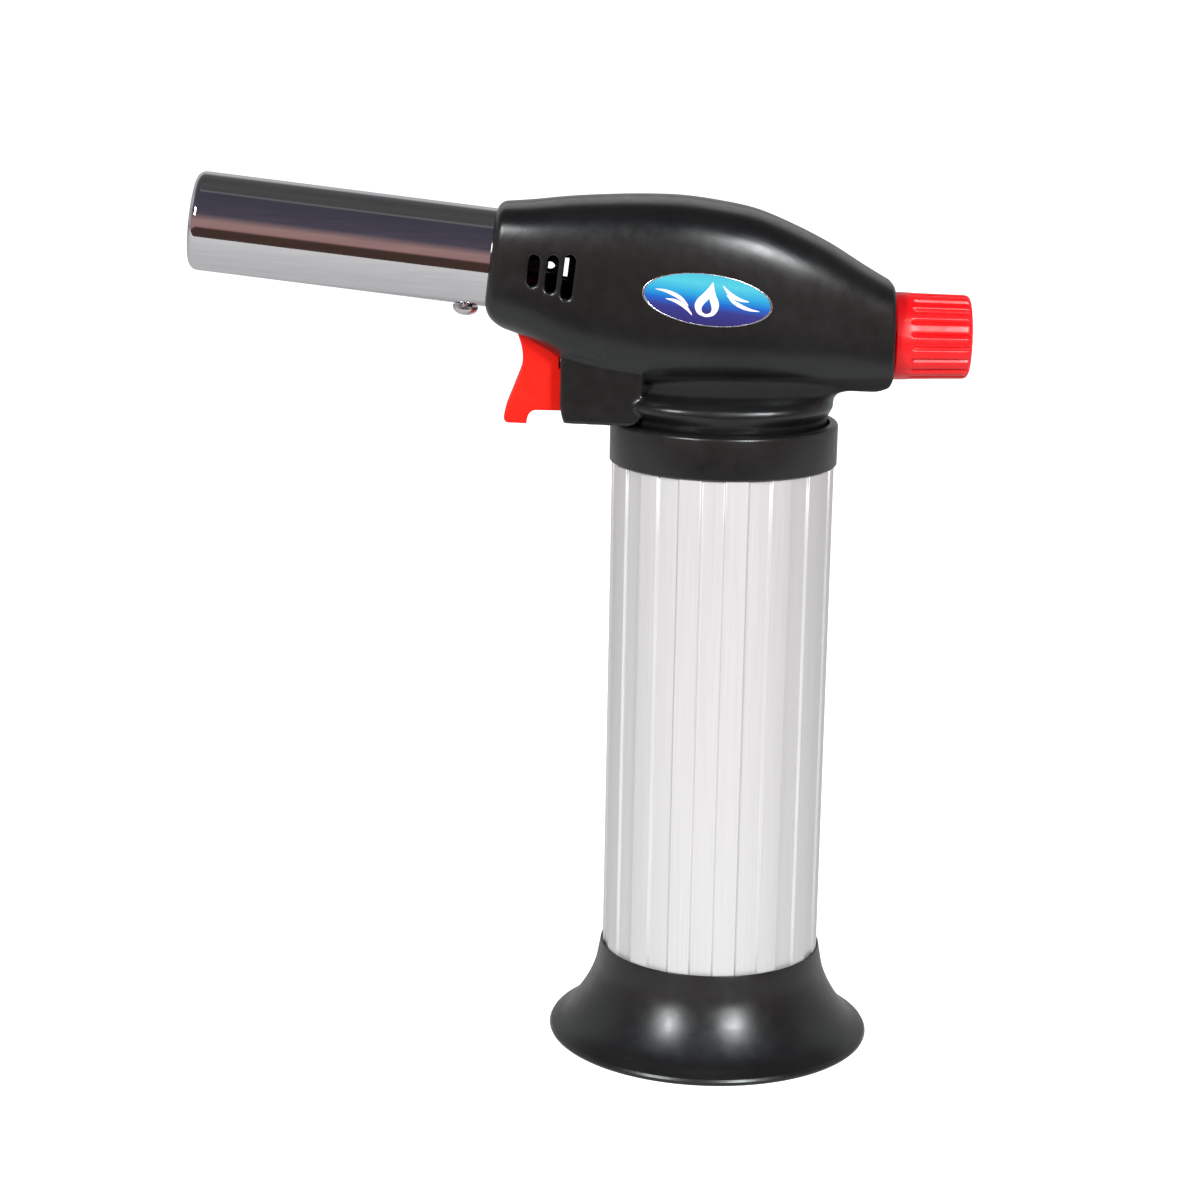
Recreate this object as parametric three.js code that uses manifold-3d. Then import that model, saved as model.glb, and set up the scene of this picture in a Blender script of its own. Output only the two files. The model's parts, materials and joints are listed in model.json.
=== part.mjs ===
// A refillable butane torch for jewellery making: a tank in a fluted sleeve on a flared foot,
// a two-piece head with a tilted flame tube, a sliding igniter trigger and a flame knob.
// Millimetres, +Z up. The tank stands on Z = 0 and the flame tube points to -X.
import * as THREE from "three";
import { mergeVertices } from "three/addons/utils/BufferGeometryUtils.js";
import Module from "manifold-3d";

const wasm = await Module();
wasm.setup();

// ---- Driving dimensions ----
const TANK_AXIS_X = 31.55; // the tank's axis, from the middle of the overall length

const FOOT_R = 35.7; // widest radius of the flared foot
const FOOT_TOP = 21; // rim where the sleeve enters
const FOOT_SEAT = 16.8; // shelf that the sleeve stands on
const FOOT_WEB = [9.4, 11.8]; // floor inside the foot, under the tank
const FOOT_HOLE_R = 7; // hole round the refill valve

const SLEEVE_R = 24;
const SLEEVE_BORE_R = 22.5;
const SLEEVE_TOP = 130.1;
const FLUTES = 15;
const FLUTE_DEPTH = 0.5;
const FLUTE_PHASE = 5.3; // degrees that the first rib's edge is turned from +X

const TANK_R = 21.9;
const TANK_WALL = 2;
const TANK_BOTTOM = 12;
const TANK_TOP = 127;
const CAP_NECK_R = 14; // neck that the head clamps on
const CAP_NECK_TOP = 145;
const CLAMP_RIB_R = 12.9;
const CLAMP_RIB = [139.4, 140.6];

const COLLAR_R = 24.58;
const COLLAR = [130.2, 139.4];
const COLLAR_ROUND = 1.6; // rounding of the collar's top edge

const WALL = 2.2; // wall of the head shells
const PARTING_GAP = 0.1; // between the two shells
const BARREL_TILT = 6.2; // degrees above horizontal
const BARREL_X = -50; // where the barrel's own zero lies on its axis
const BARREL_Z = 173.09;
const HEAD_FACE = 0.5; // front face of the head, along the barrel
const REAR_FACE_X = 35.2;
const REAR_WALL = 2.2;

const TUBE_R = 10.5;
const TUBE_WALL = 0.8;
const TUBE_BACK = -6.4; // rear end of the flame tube, along the barrel
const TUBE_MOUTH = 64.2;
const TUBE_SCREW_AT = 4.8;
const MIXER_R = 4.3;
const MIXER_BORE_R = 3.2;
const MIXER_BACK = -17.4;
const MIXER_FRONT = 38;
const ELECTRODE_OFFSET = 7; // from the barrel's axis, upwards

const KNOB_Z = 158; // axis of the flame knob and the valve spindle
const KNOB_X = [35.5, 51.8];
const KNOB_R = 9.35;
const KNOB_RIBS = 20;
const HUB_R = 5.6; // knob's hub, which turns in the rear wall

const BLOCK_HALF = [12, 14.8]; // half-width of the trigger housing at its front and rear
const BLOCK_X = [-35.3, -17.9];
const BLOCK_BOTTOM = 139.6;
const CHANNEL_FLOOR = 141; // floor that the trigger slides over
const TRIGGER_HALF = 6;
const TRIGGER_TRAVEL = 6;
const TRIGGER_TOP = 160.5;
const CHEEK_BACK = BLOCK_X[0] - 0.3; // rear edge of the trigger's two cheeks
const PUSHER_X = -36.7; // face between the cheeks, which drives the plunger
const PIEZO_X = [-30.2, -9.5];
const PIEZO_HALF = 4.5; // half of the igniter body's width and height
const PIEZO_Z = 155.6;

const RUNNING_GAP = 0.1; // between pieces that turn or slide in each other
const SOFT_EDGE = 0.3;
const CUT = 200; // length of a cutter that goes right through

// Places of the five screws that hold the shells together, as x and z.
const SHELL_SCREWS = [
  [-26, 181.2],
  [8, 179.6],
  [27.2, 167.6],
  [27, 149.8],
  [-20.4, 146],
];
const SCREW = { shank: 1.25, clear: 1.5, pilot: 1.35, head: 2.6, boss: 3.9 };

// ---- Finishes ----
const finish = (color, roughness, metalness = 0) =>
  new THREE.MeshStandardMaterial({ color, roughness, metalness });
const blackPlastic = () => finish(0x2e2c2e, 0.42);
const aluminium = () => finish(0xcdced0, 0.38, 0.9);
const chrome = () => finish(0xc9c9cc, 0.08, 1);
const brass = () => finish(0xc39a4e, 0.32, 1);
const steel = () => finish(0xa9abad, 0.3, 1);
const rubber = () => finish(0x1b1b1c, 0.75);
const nylon = () => finish(0xd9d8d0, 0.5);
const redPlastic = () => finish(0xd8121a, 0.22);
const triggerPlastic = () => finish(0xea2a16, 0.38);
const ceramic = () => finish(0xefece2, 0.35);
const darkSteel = () => finish(0x2b2a2b, 0.45, 0.8);

// ---- Solids ----
function positionsOnly(geometry) {
  const g = geometry.clone();
  g.deleteAttribute("normal");
  g.deleteAttribute("uv");
  return mergeVertices(g, 1e-4);
}

// A closed geometry as a manifold-3d solid, its faces turned outwards.
function solid(geometry) {
  const g = positionsOnly(geometry);
  const index = Array.from(g.index.array);
  const kept = [];
  for (let i = 0; i < index.length; i += 3) {
    const [a, b, c] = index.slice(i, i + 3);
    if (a !== b && b !== c && c !== a) {
      kept.push(a, b, c);
    }
  }
  const vertProperties = g.attributes.position.array;
  const make = (tris) =>
    new wasm.Manifold(
      new wasm.Mesh({ numProp: 3, vertProperties, triVerts: new Uint32Array(tris) }),
    );
  const made = make(kept);
  if (made.volume() > 0) {
    return made;
  }
  for (let i = 0; i < kept.length; i += 3) {
    [kept[i + 1], kept[i + 2]] = [kept[i + 2], kept[i + 1]];
  }
  return make(kept);
}

function geometryOf(shape) {
  const mesh = shape.getMesh();
  const g = new THREE.BufferGeometry();
  g.setAttribute("position", new THREE.BufferAttribute(mesh.vertProperties, 3));
  g.setIndex(new THREE.BufferAttribute(mesh.triVerts, 1));
  const flat = g.toNonIndexed();
  flat.computeVertexNormals();
  return flat;
}

const cut = (shape, ...tools) => tools.reduce((left, tool) => left.subtract(tool), shape);
const join = (shape, ...others) => others.reduce((sum, other) => sum.add(other), shape);

// A body of revolution about Z from (radius, z) points; a profile off the axis closes on itself.
function revolve(profile, segments = 24) {
  const points = profile.map(([r, z]) => new THREE.Vector2(Math.max(r, 0), z));
  const last = points[points.length - 1];
  if (points[0].x > 0 || last.x > 0) {
    points.push(points[0].clone());
  }
  return solid(new THREE.LatheGeometry(points, segments).rotateX(Math.PI / 2));
}

// A body of revolution about a line along X at height z.
const alongX = (profile, z, segments) =>
  revolve(profile, segments).transform(matrixArray(xAxisMatrix(z)));

function xAxisMatrix(z) {
  return new THREE.Matrix4()
    .makeRotationY(Math.PI / 2)
    .setPosition(0, 0, z);
}

const matrixArray = (matrix) => matrix.toArray();

const rod = (r, z0, z1, segments = 16) =>
  revolve([[0, z0], [r, z0], [r, z1], [0, z1]], segments);

const rodX = (r, x0, x1, z, segments = 24) =>
  alongX([[0, x0], [r, x0], [r, x1], [0, x1]], z, segments);

// A rod along Y, centred on x and z.
function rodY(r, y0, y1, x, z, segments = 20) {
  const g = new THREE.CylinderGeometry(r, r, y1 - y0, segments);
  return solid(g.translate(x, (y0 + y1) / 2, z));
}

function block(x, y, z) {
  const g = new THREE.BoxGeometry(x[1] - x[0], y[1] - y[0], z[1] - z[0]);
  return solid(g.translate((x[0] + x[1]) / 2, (y[0] + y[1]) / 2, (z[0] + z[1]) / 2));
}

// An outline in x and z, extruded along Y.
function plate(shape, y0, y1, curveSegments = 10) {
  const g = new THREE.ExtrudeGeometry(shape, {
    depth: y1 - y0,
    bevelEnabled: false,
    curveSegments,
  });
  return solid(g.rotateX(Math.PI / 2).translate(0, y1, 0));
}

// A tube or wire along a curve, with a round section.
function swept(curve, r, sides, steps) {
  const section = new THREE.Shape();
  for (let i = 0; i < sides; i++) {
    const a = (2 * Math.PI * i) / sides;
    const move = i ? "lineTo" : "moveTo";
    section[move](r * Math.cos(a), r * Math.sin(a));
  }
  section.closePath();
  const g = new THREE.ExtrudeGeometry(section, { steps, extrudePath: curve });
  return solid(g);
}

// Rings of points joined in order, with flat ends.
function loft(rings) {
  const count = rings[0].length;
  const points = rings.flat();
  const index = [];
  for (let k = 0; k + 1 < rings.length; k++) {
    for (let i = 0; i < count; i++) {
      const a = k * count + i;
      const b = k * count + ((i + 1) % count);
      index.push(a, b, b + count, a, b + count, a + count);
    }
  }
  for (const [start, flip] of [[0, false], [(rings.length - 1) * count, true]]) {
    const centre = new THREE.Vector3();
    for (let i = 0; i < count; i++) {
      centre.add(points[start + i]);
    }
    points.push(centre.divideScalar(count));
    for (let i = 0; i < count; i++) {
      const a = start + i;
      const b = start + ((i + 1) % count);
      index.push(points.length - 1, flip ? a : b, flip ? b : a);
    }
  }
  const g = new THREE.BufferGeometry().setFromPoints(points);
  g.setIndex(index);
  return solid(g);
}

// A helix about Z, and how many straight steps follow it.
function helix(r, from, to, turns) {
  const steps = turns * 8;
  const points = [];
  for (let i = 0; i <= steps; i++) {
    const a = (2 * Math.PI * turns * i) / steps;
    const z = from + ((to - from) * i) / steps;
    points.push(new THREE.Vector3(r * Math.cos(a), r * Math.sin(a), z));
  }
  return { curve: new THREE.CatmullRomCurve3(points), steps };
}

// A hexagonal prism about Z; the radius reaches its corners.
const hexagon = (r, z0, z1) => revolve([[0, z0], [r, z0], [r, z1], [0, z1]], 6);

// ---- The scene graph ----
const torch = new THREE.Group();
const tankFrame = new THREE.Group();
tankFrame.position.x = TANK_AXIS_X;
torch.add(tankFrame);

// The barrel's own frame: +Z along the flame tube to its mouth, +X upwards across it.
const barrel = new THREE.Group();
barrel.position.set(BARREL_X, 0, BARREL_Z);
barrel.rotation.y = -THREE.MathUtils.degToRad(90 - BARREL_TILT);
barrel.updateMatrix();
tankFrame.add(barrel);
const inBarrel = (shape) => shape.transform(matrixArray(barrel.matrix));
const barrelPoint = (x, y, z) => new THREE.Vector3(x, y, z).applyMatrix4(barrel.matrix);

function add(group, name, shape, material) {
  const mesh = new THREE.Mesh(geometryOf(shape), material);
  mesh.name = name;
  group.add(mesh);
}

// ---- Foot, sleeve, tank ----
function foot() {
  const flare = new THREE.SplineCurve(
    [
      [34.2, 2.3],
      [32.6, 3.4],
      [30.9, 5.2],
      [28.9, 8],
      [27.1, 11.2],
      [25.6, 15],
      [24.75, 19.2],
    ].map(([r, z]) => new THREE.Vector2(r, z)),
  );
  return revolve(
    [
      [32.2, 0],
      [35.0, 0],
      [35.5, 0.35],
      [FOOT_R, 0.9],
      [35.3, 1.6],
      ...flare.getPoints(5).map((p) => [p.x, p.y]),
      [24.5, FOOT_TOP - 0.4],
      [24.35, FOOT_TOP],
      [SLEEVE_R + 0.12, FOOT_TOP],
      [SLEEVE_R + 0.12, FOOT_SEAT],
      [TANK_R + 0.2, FOOT_SEAT],
      [TANK_R + 0.2, FOOT_WEB[1]],
      [FOOT_HOLE_R, FOOT_WEB[1]],
      [FOOT_HOLE_R, FOOT_WEB[0]],
      [23.5, FOOT_WEB[0]],
      [26.2, 8],
      [30, 3.6],
    ],
    32,
  );
}

// The fluted section, with three points on each rib and each groove.
function sleeve() {
  const outline = new THREE.Shape();
  const pitch = (2 * Math.PI) / FLUTES;
  const side = pitch / 40;
  const phase = THREE.MathUtils.degToRad(FLUTE_PHASE);
  for (let i = 0; i < FLUTES; i++) {
    const start = i * pitch + phase;
    const rib = [start + side, start + pitch / 4, start + pitch / 2 - side];
    const groove = [start + pitch / 2 + side, start + 0.75 * pitch, start + pitch - side];
    for (const [angles, r] of [[rib, SLEEVE_R], [groove, SLEEVE_R - FLUTE_DEPTH]]) {
      for (const a of angles) {
        const move = i === 0 && a === rib[0] ? "moveTo" : "lineTo";
        outline[move](r * Math.cos(a), r * Math.sin(a));
      }
    }
  }
  outline.closePath();
  outline.holes.push(new THREE.Path().absarc(0, 0, SLEEVE_BORE_R, 0, 2 * Math.PI, true));
  const g = new THREE.ExtrudeGeometry(outline, {
    depth: SLEEVE_TOP - FOOT_SEAT - RUNNING_GAP,
    bevelEnabled: false,
    curveSegments: 20,
  });
  return solid(g.translate(0, 0, FOOT_SEAT + RUNNING_GAP));
}

const REFILL_BORE_R = 4.1;
function tankShell() {
  const inner = TANK_R - TANK_WALL;
  return revolve([
    [REFILL_BORE_R, TANK_BOTTOM],
    [TANK_R - 1, TANK_BOTTOM],
    [TANK_R, TANK_BOTTOM + 1],
    [TANK_R, TANK_TOP - RUNNING_GAP],
    [inner, TANK_TOP - RUNNING_GAP],
    [inner, TANK_BOTTOM + 4],
    [inner - 2, TANK_BOTTOM + 2.2],
    [6.2, TANK_BOTTOM + 2.2],
    [6.2, 20],
    [REFILL_BORE_R, 20],
  ]);
}

const VALVE_STEM_R = 5;
const SPIGOT_R = TANK_R - TANK_WALL - 0.3;
function tankCap() {
  const bore = VALVE_STEM_R + RUNNING_GAP;
  return revolve([
    [bore, 124],
    [SPIGOT_R, 124],
    [SPIGOT_R, 125],
    [SPIGOT_R - 1.2, 125],
    [SPIGOT_R - 1.2, 126.5],
    [SPIGOT_R, 126.5],
    [SPIGOT_R, TANK_TOP],
    [TANK_R, TANK_TOP],
    [TANK_R, 131],
    [CAP_NECK_R, 131],
    [CAP_NECK_R, CLAMP_RIB[0] - SOFT_EDGE],
    [CLAMP_RIB_R - SOFT_EDGE, CLAMP_RIB[0] - SOFT_EDGE],
    [CLAMP_RIB_R - SOFT_EDGE, CLAMP_RIB[1] + SOFT_EDGE],
    [CAP_NECK_R, CLAMP_RIB[1] + SOFT_EDGE],
    [CAP_NECK_R, CAP_NECK_TOP],
    [bore, CAP_NECK_TOP],
  ]);
}

function oRing(r, z, section) {
  const profile = [];
  for (let i = 0; i < 6; i++) {
    const a = (2 * Math.PI * i) / 6;
    profile.push([r + section * Math.cos(a), z + section * Math.sin(a)]);
  }
  return profile;
}

const SPIGOT_BORE_R = 22.75; // collar's mouth, round the head's spigot
function collar() {
  const [low, high] = COLLAR;
  return revolve(
    [
      [TANK_R - 3.2, 131.2],
      [SLEEVE_BORE_R - 0.15, 131.2],
      [SLEEVE_BORE_R - 0.15, low],
      [COLLAR_R - 0.25, low],
      [COLLAR_R, low + 0.25],
      [COLLAR_R, high - COLLAR_ROUND],
      [COLLAR_R - 0.3 * COLLAR_ROUND, high - 0.3 * COLLAR_ROUND],
      [COLLAR_R - COLLAR_ROUND, high],
      [SPIGOT_BORE_R, high],
      [SPIGOT_BORE_R, 136.6],
      [19.6, 136.6],
      [TANK_R - 3.2, 135.8],
    ],
    32,
  );
}

// ---- Refill valve ----
function refillBody() {
  return revolve(
    [
      [1.75, 9.9],
      [5.4, 9.9],
      [5.4, 11.1],
      [4, 11.1],
      [4, 24],
      [1.3, 24],
      [1.3, 23.1],
      [2.65, 23.1],
      [2.65, 12.5],
      [1.75, 12.5],
    ],
    16,
  );
}

const refillStem = () =>
  revolve(
    [
      [0, 7.6],
      [1.2, 7.6],
      [1.5, 8],
      [1.5, 13.3],
      [2.45, 13.3],
      [2.45, 14.6],
      [1.1, 14.6],
      [1.1, 17],
      [0, 17],
    ],
    16,
  );

const ring = (inner, outer, z0, z1, segments = 16) =>
  revolve([[inner, z0], [outer, z0], [outer, z1], [inner, z1]], segments);

// ---- Gas valve ----
const VALVE_X = 7; // outlet of the valve, off the tank's axis
function valveBody() {
  const stem = revolve(
    [
      [0, 116],
      [VALVE_STEM_R, 116],
      [VALVE_STEM_R, 146.4],
      [7.4, 146.4],
      [7.4, 149.6],
      [0, 149.6],
    ],
    24,
  );
  return cut(
    join(stem, block([-5.5, 13], [-6, 6], [149.5, 165])),
    rod(1.25, 115, KNOB_Z, 12),
    rodX(0.9, 0, 5, KNOB_Z, 12),
    rodX(2.4, 4.6, 14, KNOB_Z, 20),
    rodX(3.4, 9.6, 14, KNOB_Z, 24),
    rod(1.1, KNOB_Z, 166, 12).translate(VALVE_X, 0, 0),
    rod(1.7, 163.4, 166, 16).translate(VALVE_X, 0, 0),
    rod(1.8, 115, 118, 16),
  );
}

const SPINDLE_R = 2;
const HEX_R = 1.95; // corner radius of the spindle's driven end
const SPINDLE_SHOULDER = 29; // where its round part ends, short of the knob's socket when fed out
function spindle() {
  const turned = alongX(
    [
      [0, 5.1],
      [0.45, 5.1],
      [1.5, 8.2],
      [SPINDLE_R, 8.6],
      [SPINDLE_R, SPINDLE_SHOULDER],
      [0, SPINDLE_SHOULDER],
    ],
    KNOB_Z,
    20,
  );
  const drive = hexagon(HEX_R, SPINDLE_SHOULDER - 0.1, 45);
  return join(turned, drive.transform(matrixArray(xAxisMatrix(KNOB_Z))));
}

function glandNut() {
  const body = hexagon(5.6, 13.15, 17.5).transform(matrixArray(xAxisMatrix(KNOB_Z)));
  return cut(
    join(body, rodX(3.3, 11.9, 13.2, KNOB_Z, 24)),
    rodX(SPINDLE_R + RUNNING_GAP, 11, 19, KNOB_Z, 24),
  );
}

function gasLine() {
  const start = barrelPoint(0, 0, -26.4);
  const path = new THREE.CatmullRomCurve3([
    new THREE.Vector3(VALVE_X, 0, 163.9),
    new THREE.Vector3(VALVE_X, 0, 165.8),
    new THREE.Vector3(VALVE_X - 1.1, 0, 167.5),
    new THREE.Vector3(VALVE_X - 3.6, 0, 168.3),
    new THREE.Vector3(-4, 0, 168.5),
    barrelPoint(0, 0, -36),
    barrelPoint(0, 0, -31),
    start,
  ]);
  return swept(path, 1.35, 8, 20);
}

// ---- Knob ----
// A ring about the knob's axis; depth is how deep the grooves between the ribs are.
function knobRing(x, r, depth) {
  const count = KNOB_RIBS * 4;
  const points = [];
  for (let i = 0; i < count; i++) {
    const a = (2 * Math.PI * i) / count;
    const valley = i % 4 === 3 ? 1 : 0;
    const here = r - depth * valley;
    points.push(new THREE.Vector3(x, here * Math.cos(a), KNOB_Z + here * Math.sin(a)));
  }
  return points;
}

function knob() {
  const [from, to] = KNOB_X;
  const grip = loft([
    knobRing(from, KNOB_R - 0.25, 0),
    knobRing(from + 0.3, KNOB_R, 0),
    knobRing(from + 2.3, KNOB_R - 0.05, 0),
    knobRing(from + 2.9, KNOB_R - 0.1, 0.7),
    knobRing(to - 0.8, 8.95, 0.7),
    knobRing(to - 0.25, 8.65, 0.5),
    knobRing(to, 8.1, 0),
  ]);
  const hub = alongX(
    [[0, 31], [6.4, 31], [6.7, 32.4], [HUB_R, 32.6], [HUB_R, from + 0.1], [0, from + 0.1]],
    KNOB_Z,
    24,
  );
  const socket = hexagon(HEX_R + 0.17, 30, 47).transform(matrixArray(xAxisMatrix(KNOB_Z)));
  const hollow = alongX(
    [
      [6.9, from - 1],
      [7.4, from - 1],
      [7.2, 49.6],
      [4, 49.6],
      [4, from + 0.8],
      [6.9, from + 0.8],
    ],
    KNOB_Z,
    20,
  );
  return cut(join(grip, hub), socket, hollow);
}

// ---- Trigger and igniter ----
// The finger piece with a foot that slides over the channel's floor and a notch at the back for
// the igniter between its cheeks.
function trigger() {
  const s = new THREE.Shape();
  s.moveTo(CHEEK_BACK, TRIGGER_TOP);
  s.lineTo(-44.3, TRIGGER_TOP);
  s.lineTo(-44.7, 158);
  s.bezierCurveTo(-43.1, 154.2, -43, 151.6, -44.4, 148.1);
  s.lineTo(-47, 141.4);
  s.bezierCurveTo(-47.7, 139.4, -47.2, 138.6, -46.4, 138.55);
  s.lineTo(-42.5, 138.45);
  s.bezierCurveTo(-42.3, 140.2, -41.9, 141.2, -40.6, 141.35);
  s.lineTo(-30.6, 141.35);
  s.lineTo(-30.6, 150.2);
  s.lineTo(CHEEK_BACK, 150.5);
  s.closePath();
  const half = PIEZO_HALF + 0.4;
  const notch = block([PUSHER_X, CHEEK_BACK + 1], [-half, half], [150.7, TRIGGER_TOP + 1]);
  return cut(plate(s, -TRIGGER_HALF, TRIGGER_HALF, 8), notch);
}

function piezoCase() {
  const [from, to] = PIEZO_X;
  const reach = [-PIEZO_HALF, PIEZO_HALF];
  const body = block([from, to], reach, reach.map((z) => PIEZO_Z + z));
  return cut(body, rodX(3.5, from - 1, to - 1.6, PIEZO_Z, 24));
}

function piezoPlunger() {
  return alongX(
    [
      [0, PUSHER_X + RUNNING_GAP],
      [3, PUSHER_X + RUNNING_GAP],
      [3.35, -36.1],
      [3.35, -20],
      [2.2, -20],
      [2.2, -27],
      [0, -27],
    ],
    PIEZO_Z,
    24,
  );
}

function coil(r, wire, from, to, turns) {
  const { curve, steps } = helix(r, from, to, turns);
  return swept(curve, wire, 5, steps);
}

function igniterLead() {
  const end = barrelPoint(ELECTRODE_OFFSET, 0, -7.4);
  const path = new THREE.CatmullRomCurve3([
    new THREE.Vector3(-7.4, 0, PIEZO_Z),
    new THREE.Vector3(-7.4, 3.6, PIEZO_Z + 1),
    new THREE.Vector3(-8.6, 6.6, 161),
    new THREE.Vector3(-15, 8.6, 167.5),
    new THREE.Vector3(-24, 8, 173.5),
    barrelPoint(ELECTRODE_OFFSET, 5, -19),
    barrelPoint(ELECTRODE_OFFSET, 1.2, -12.5),
    end,
  ]);
  return swept(path, 0.9, 6, 26);
}

// ---- Flame tube and burner, in the barrel's frame ----
// Turns a body that stands on +Z to point down across the barrel, at a place along it.
const acrossBarrel = (along) =>
  matrixArray(new THREE.Matrix4().makeRotationY(-Math.PI / 2).setPosition(0, 0, along));

const radialHole = (r, x0, x1, along) => rod(r, x0, x1, 16).transform(acrossBarrel(along));

function flameTube() {
  const bore = TUBE_R - TUBE_WALL;
  const roll = 1.9;
  const profile = [[bore, TUBE_BACK], [TUBE_R, TUBE_BACK]];
  for (let i = 0; i <= 3; i++) {
    const a = (Math.PI * i) / 6;
    profile.push([TUBE_R - roll + roll * Math.cos(a), TUBE_MOUTH - roll + roll * Math.sin(a)]);
  }
  for (let i = 3; i >= 0; i--) {
    const a = (Math.PI * i) / 6;
    const r = roll - TUBE_WALL;
    profile.push([TUBE_R - roll + r * Math.cos(a), TUBE_MOUTH - roll + r * Math.sin(a)]);
  }
  return cut(revolve(profile, 32), radialHole(1.8, 8, 12, TUBE_SCREW_AT));
}

const tubeScrew = () =>
  revolve(
    [
      [0, 6.6],
      [1.2, 6.6],
      [1.5, 7],
      [1.5, 10.8],
      [2.7, 10.8],
      [2.7, 11.3],
      [2.3, 12.2],
      [1.3, 12.75],
      [0, 12.9],
    ],
    20,
  ).transform(acrossBarrel(TUBE_SCREW_AT));

const BURNER_R = TUBE_R - TUBE_WALL - 0.3;
function burnerHolder() {
  return cut(
    ring(MIXER_R + 0.3, BURNER_R, -4, 9, 28),
    radialHole(1.8, 4, 10, TUBE_SCREW_AT),
    rod(1.75, -5, 10, 16).translate(ELECTRODE_OFFSET, 0, 0),
  );
}

// The tube that mixes gas with air, with a round air hole and an air slot on each side.
function mixingTube() {
  const airHole = rodY(1.2, -8, 8, 0, -12.07, 16);
  const airSlot = block([-2.35, 2.35], [-8, 8], [-16, -15]);
  return cut(ring(MIXER_BORE_R, MIXER_R, MIXER_BACK, MIXER_FRONT, 20), airHole, airSlot);
}

function jetHolder() {
  return cut(
    join(rod(4.6, -23, MIXER_BACK - 0.3, 28), rod(3.2, -27, -22.9, 24)),
    rod(1.9, MIXER_BACK - 4.5, MIXER_BACK, 16),
    rod(1, -26, MIXER_BACK - 4.4, 12),
    rod(1.7, -28, -24.6, 16),
  );
}

const gasJet = () =>
  revolve(
    [[0.35, -21.2], [1.55, -21.2], [1.55, -18.6], [1, -17.9], [0.35, -17.9]],
    16,
  );

function flameHolder() {
  const holes = [];
  for (let i = 0; i < 8; i++) {
    const a = (Math.PI * (i + 0.5)) / 4;
    holes.push(rod(1.15, 30, 36, 8).translate(7 * Math.cos(a), 7 * Math.sin(a), 0));
  }
  return cut(
    ring(MIXER_R + 0.3, BURNER_R, 33, 34.6, 28),
    rod(1.85, 30, 36, 16).translate(ELECTRODE_OFFSET, 0, 0),
    ...holes.filter((hole, i) => i !== 0 && i !== 7),
  );
}

function flameNozzle() {
  const holes = [rod(0.7, 37, 44, 10)];
  for (let i = 0; i < 6; i++) {
    const a = (Math.PI * i) / 3;
    holes.push(rod(0.5, 37, 44, 6).translate(2.2 * Math.cos(a), 2.2 * Math.sin(a), 0));
  }
  const cup = revolve(
    [[0, MIXER_FRONT + 0.3], [4.3, MIXER_FRONT + 0.3], [4.3, 41.4], [3.6, 42.2], [0, 42.2]],
    20,
  );
  return cut(cup, ...holes);
}

const insulator = () => ring(0.8, 1.45, -6, 40, 16).translate(ELECTRODE_OFFSET, 0, 0);

function electrode() {
  const path = new THREE.CatmullRomCurve3([
    new THREE.Vector3(ELECTRODE_OFFSET, 0, -5),
    new THREE.Vector3(ELECTRODE_OFFSET, 0, 20),
    new THREE.Vector3(ELECTRODE_OFFSET, 0, 41),
    new THREE.Vector3(ELECTRODE_OFFSET - 0.5, 0, 43.6),
    new THREE.Vector3(ELECTRODE_OFFSET - 2.6, 0, 45.4),
    new THREE.Vector3(ELECTRODE_OFFSET - 4.4, 0, 46),
  ]);
  return swept(path, 0.45, 6, 20);
}

// ---- Head shells ----
// Key sections of the head along X: x, top, bottom, half-width, squareness of the lower half.
const HEAD_SECTIONS = [
  [-58, 183.7, 161.6, 10.8, 3.5],
  [-50, 184.6, 159.4, 13.0, 3.5],
  [-42, 185.2, 156.5, 14.9, 3.45],
  [-34, 186.05, 151.9, 16.2, 3.4],
  [-26, 186.55, 149.4, 17.1, 3.4],
  [-18, 186.8, 147.4, 17.7, 3.4],
  [-10, 186.65, 146.7, 18.1, 3.4],
  [-2, 185.7, 146.5, 18.1, 3.35],
  [6, 184.1, 146.4, 17.6, 3.3],
  [14, 181.0, 146.4, 16.7, 3.2],
  [22, 177.1, 146.6, 15.1, 3.1],
  [30, 172.3, 146.3, 13.0, 3.0],
  [38, 167.8, 146.1, 10.9, 2.9],
];

const TOP_SQUARER = 0.9; // how much squarer the upper half of each section is

function headSections(steps) {
  const spline = (pick) =>
    new THREE.CatmullRomCurve3(
      HEAD_SECTIONS.map((row) => new THREE.Vector3(...pick.map((k) => row[k]))),
      false,
      "catmullrom",
      0.5,
    );
  const outline = spline([0, 1, 2]);
  const width = spline([0, 3, 4]);
  const sections = [];
  for (let i = 0; i <= steps; i++) {
    const o = outline.getPoint(i / steps);
    const w = width.getPoint(i / steps);
    sections.push({ x: o.x, top: o.y, bottom: o.z, half: w.y, square: w.z });
  }
  return sections;
}

// A superellipse ring; its two half-lengths along u may differ, and its two halves along v may
// differ in squareness.
function roundedRing(count, uPlus, uMinus, v, [lower, upper], place) {
  const points = [];
  for (let i = 0; i < count; i++) {
    const a = (2 * Math.PI * (i + 0.5)) / count;
    const c = Math.cos(a);
    const s = Math.sin(a);
    const power = 2 / (s > 0 ? upper : lower);
    const u = (c > 0 ? uPlus : uMinus) * Math.sign(c) * Math.abs(c) ** power;
    points.push(place(u, v * Math.sign(s) * Math.abs(s) ** power));
  }
  return points;
}

// The head's outside, moved outwards by grow.
function headBody(grow, sides = 24, steps = 14) {
  return loft(
    headSections(steps).map(({ x, top, bottom, half, square }) => {
      const middle = (top + bottom) / 2;
      const reach = (top - bottom) / 2 + grow;
      const wide = half + grow;
      return roundedRing(sides, wide, wide, reach, [square, square + TOP_SQUARER], (y, z) =>
        new THREE.Vector3(x, y, middle + z));
    }),
  );
}

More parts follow.
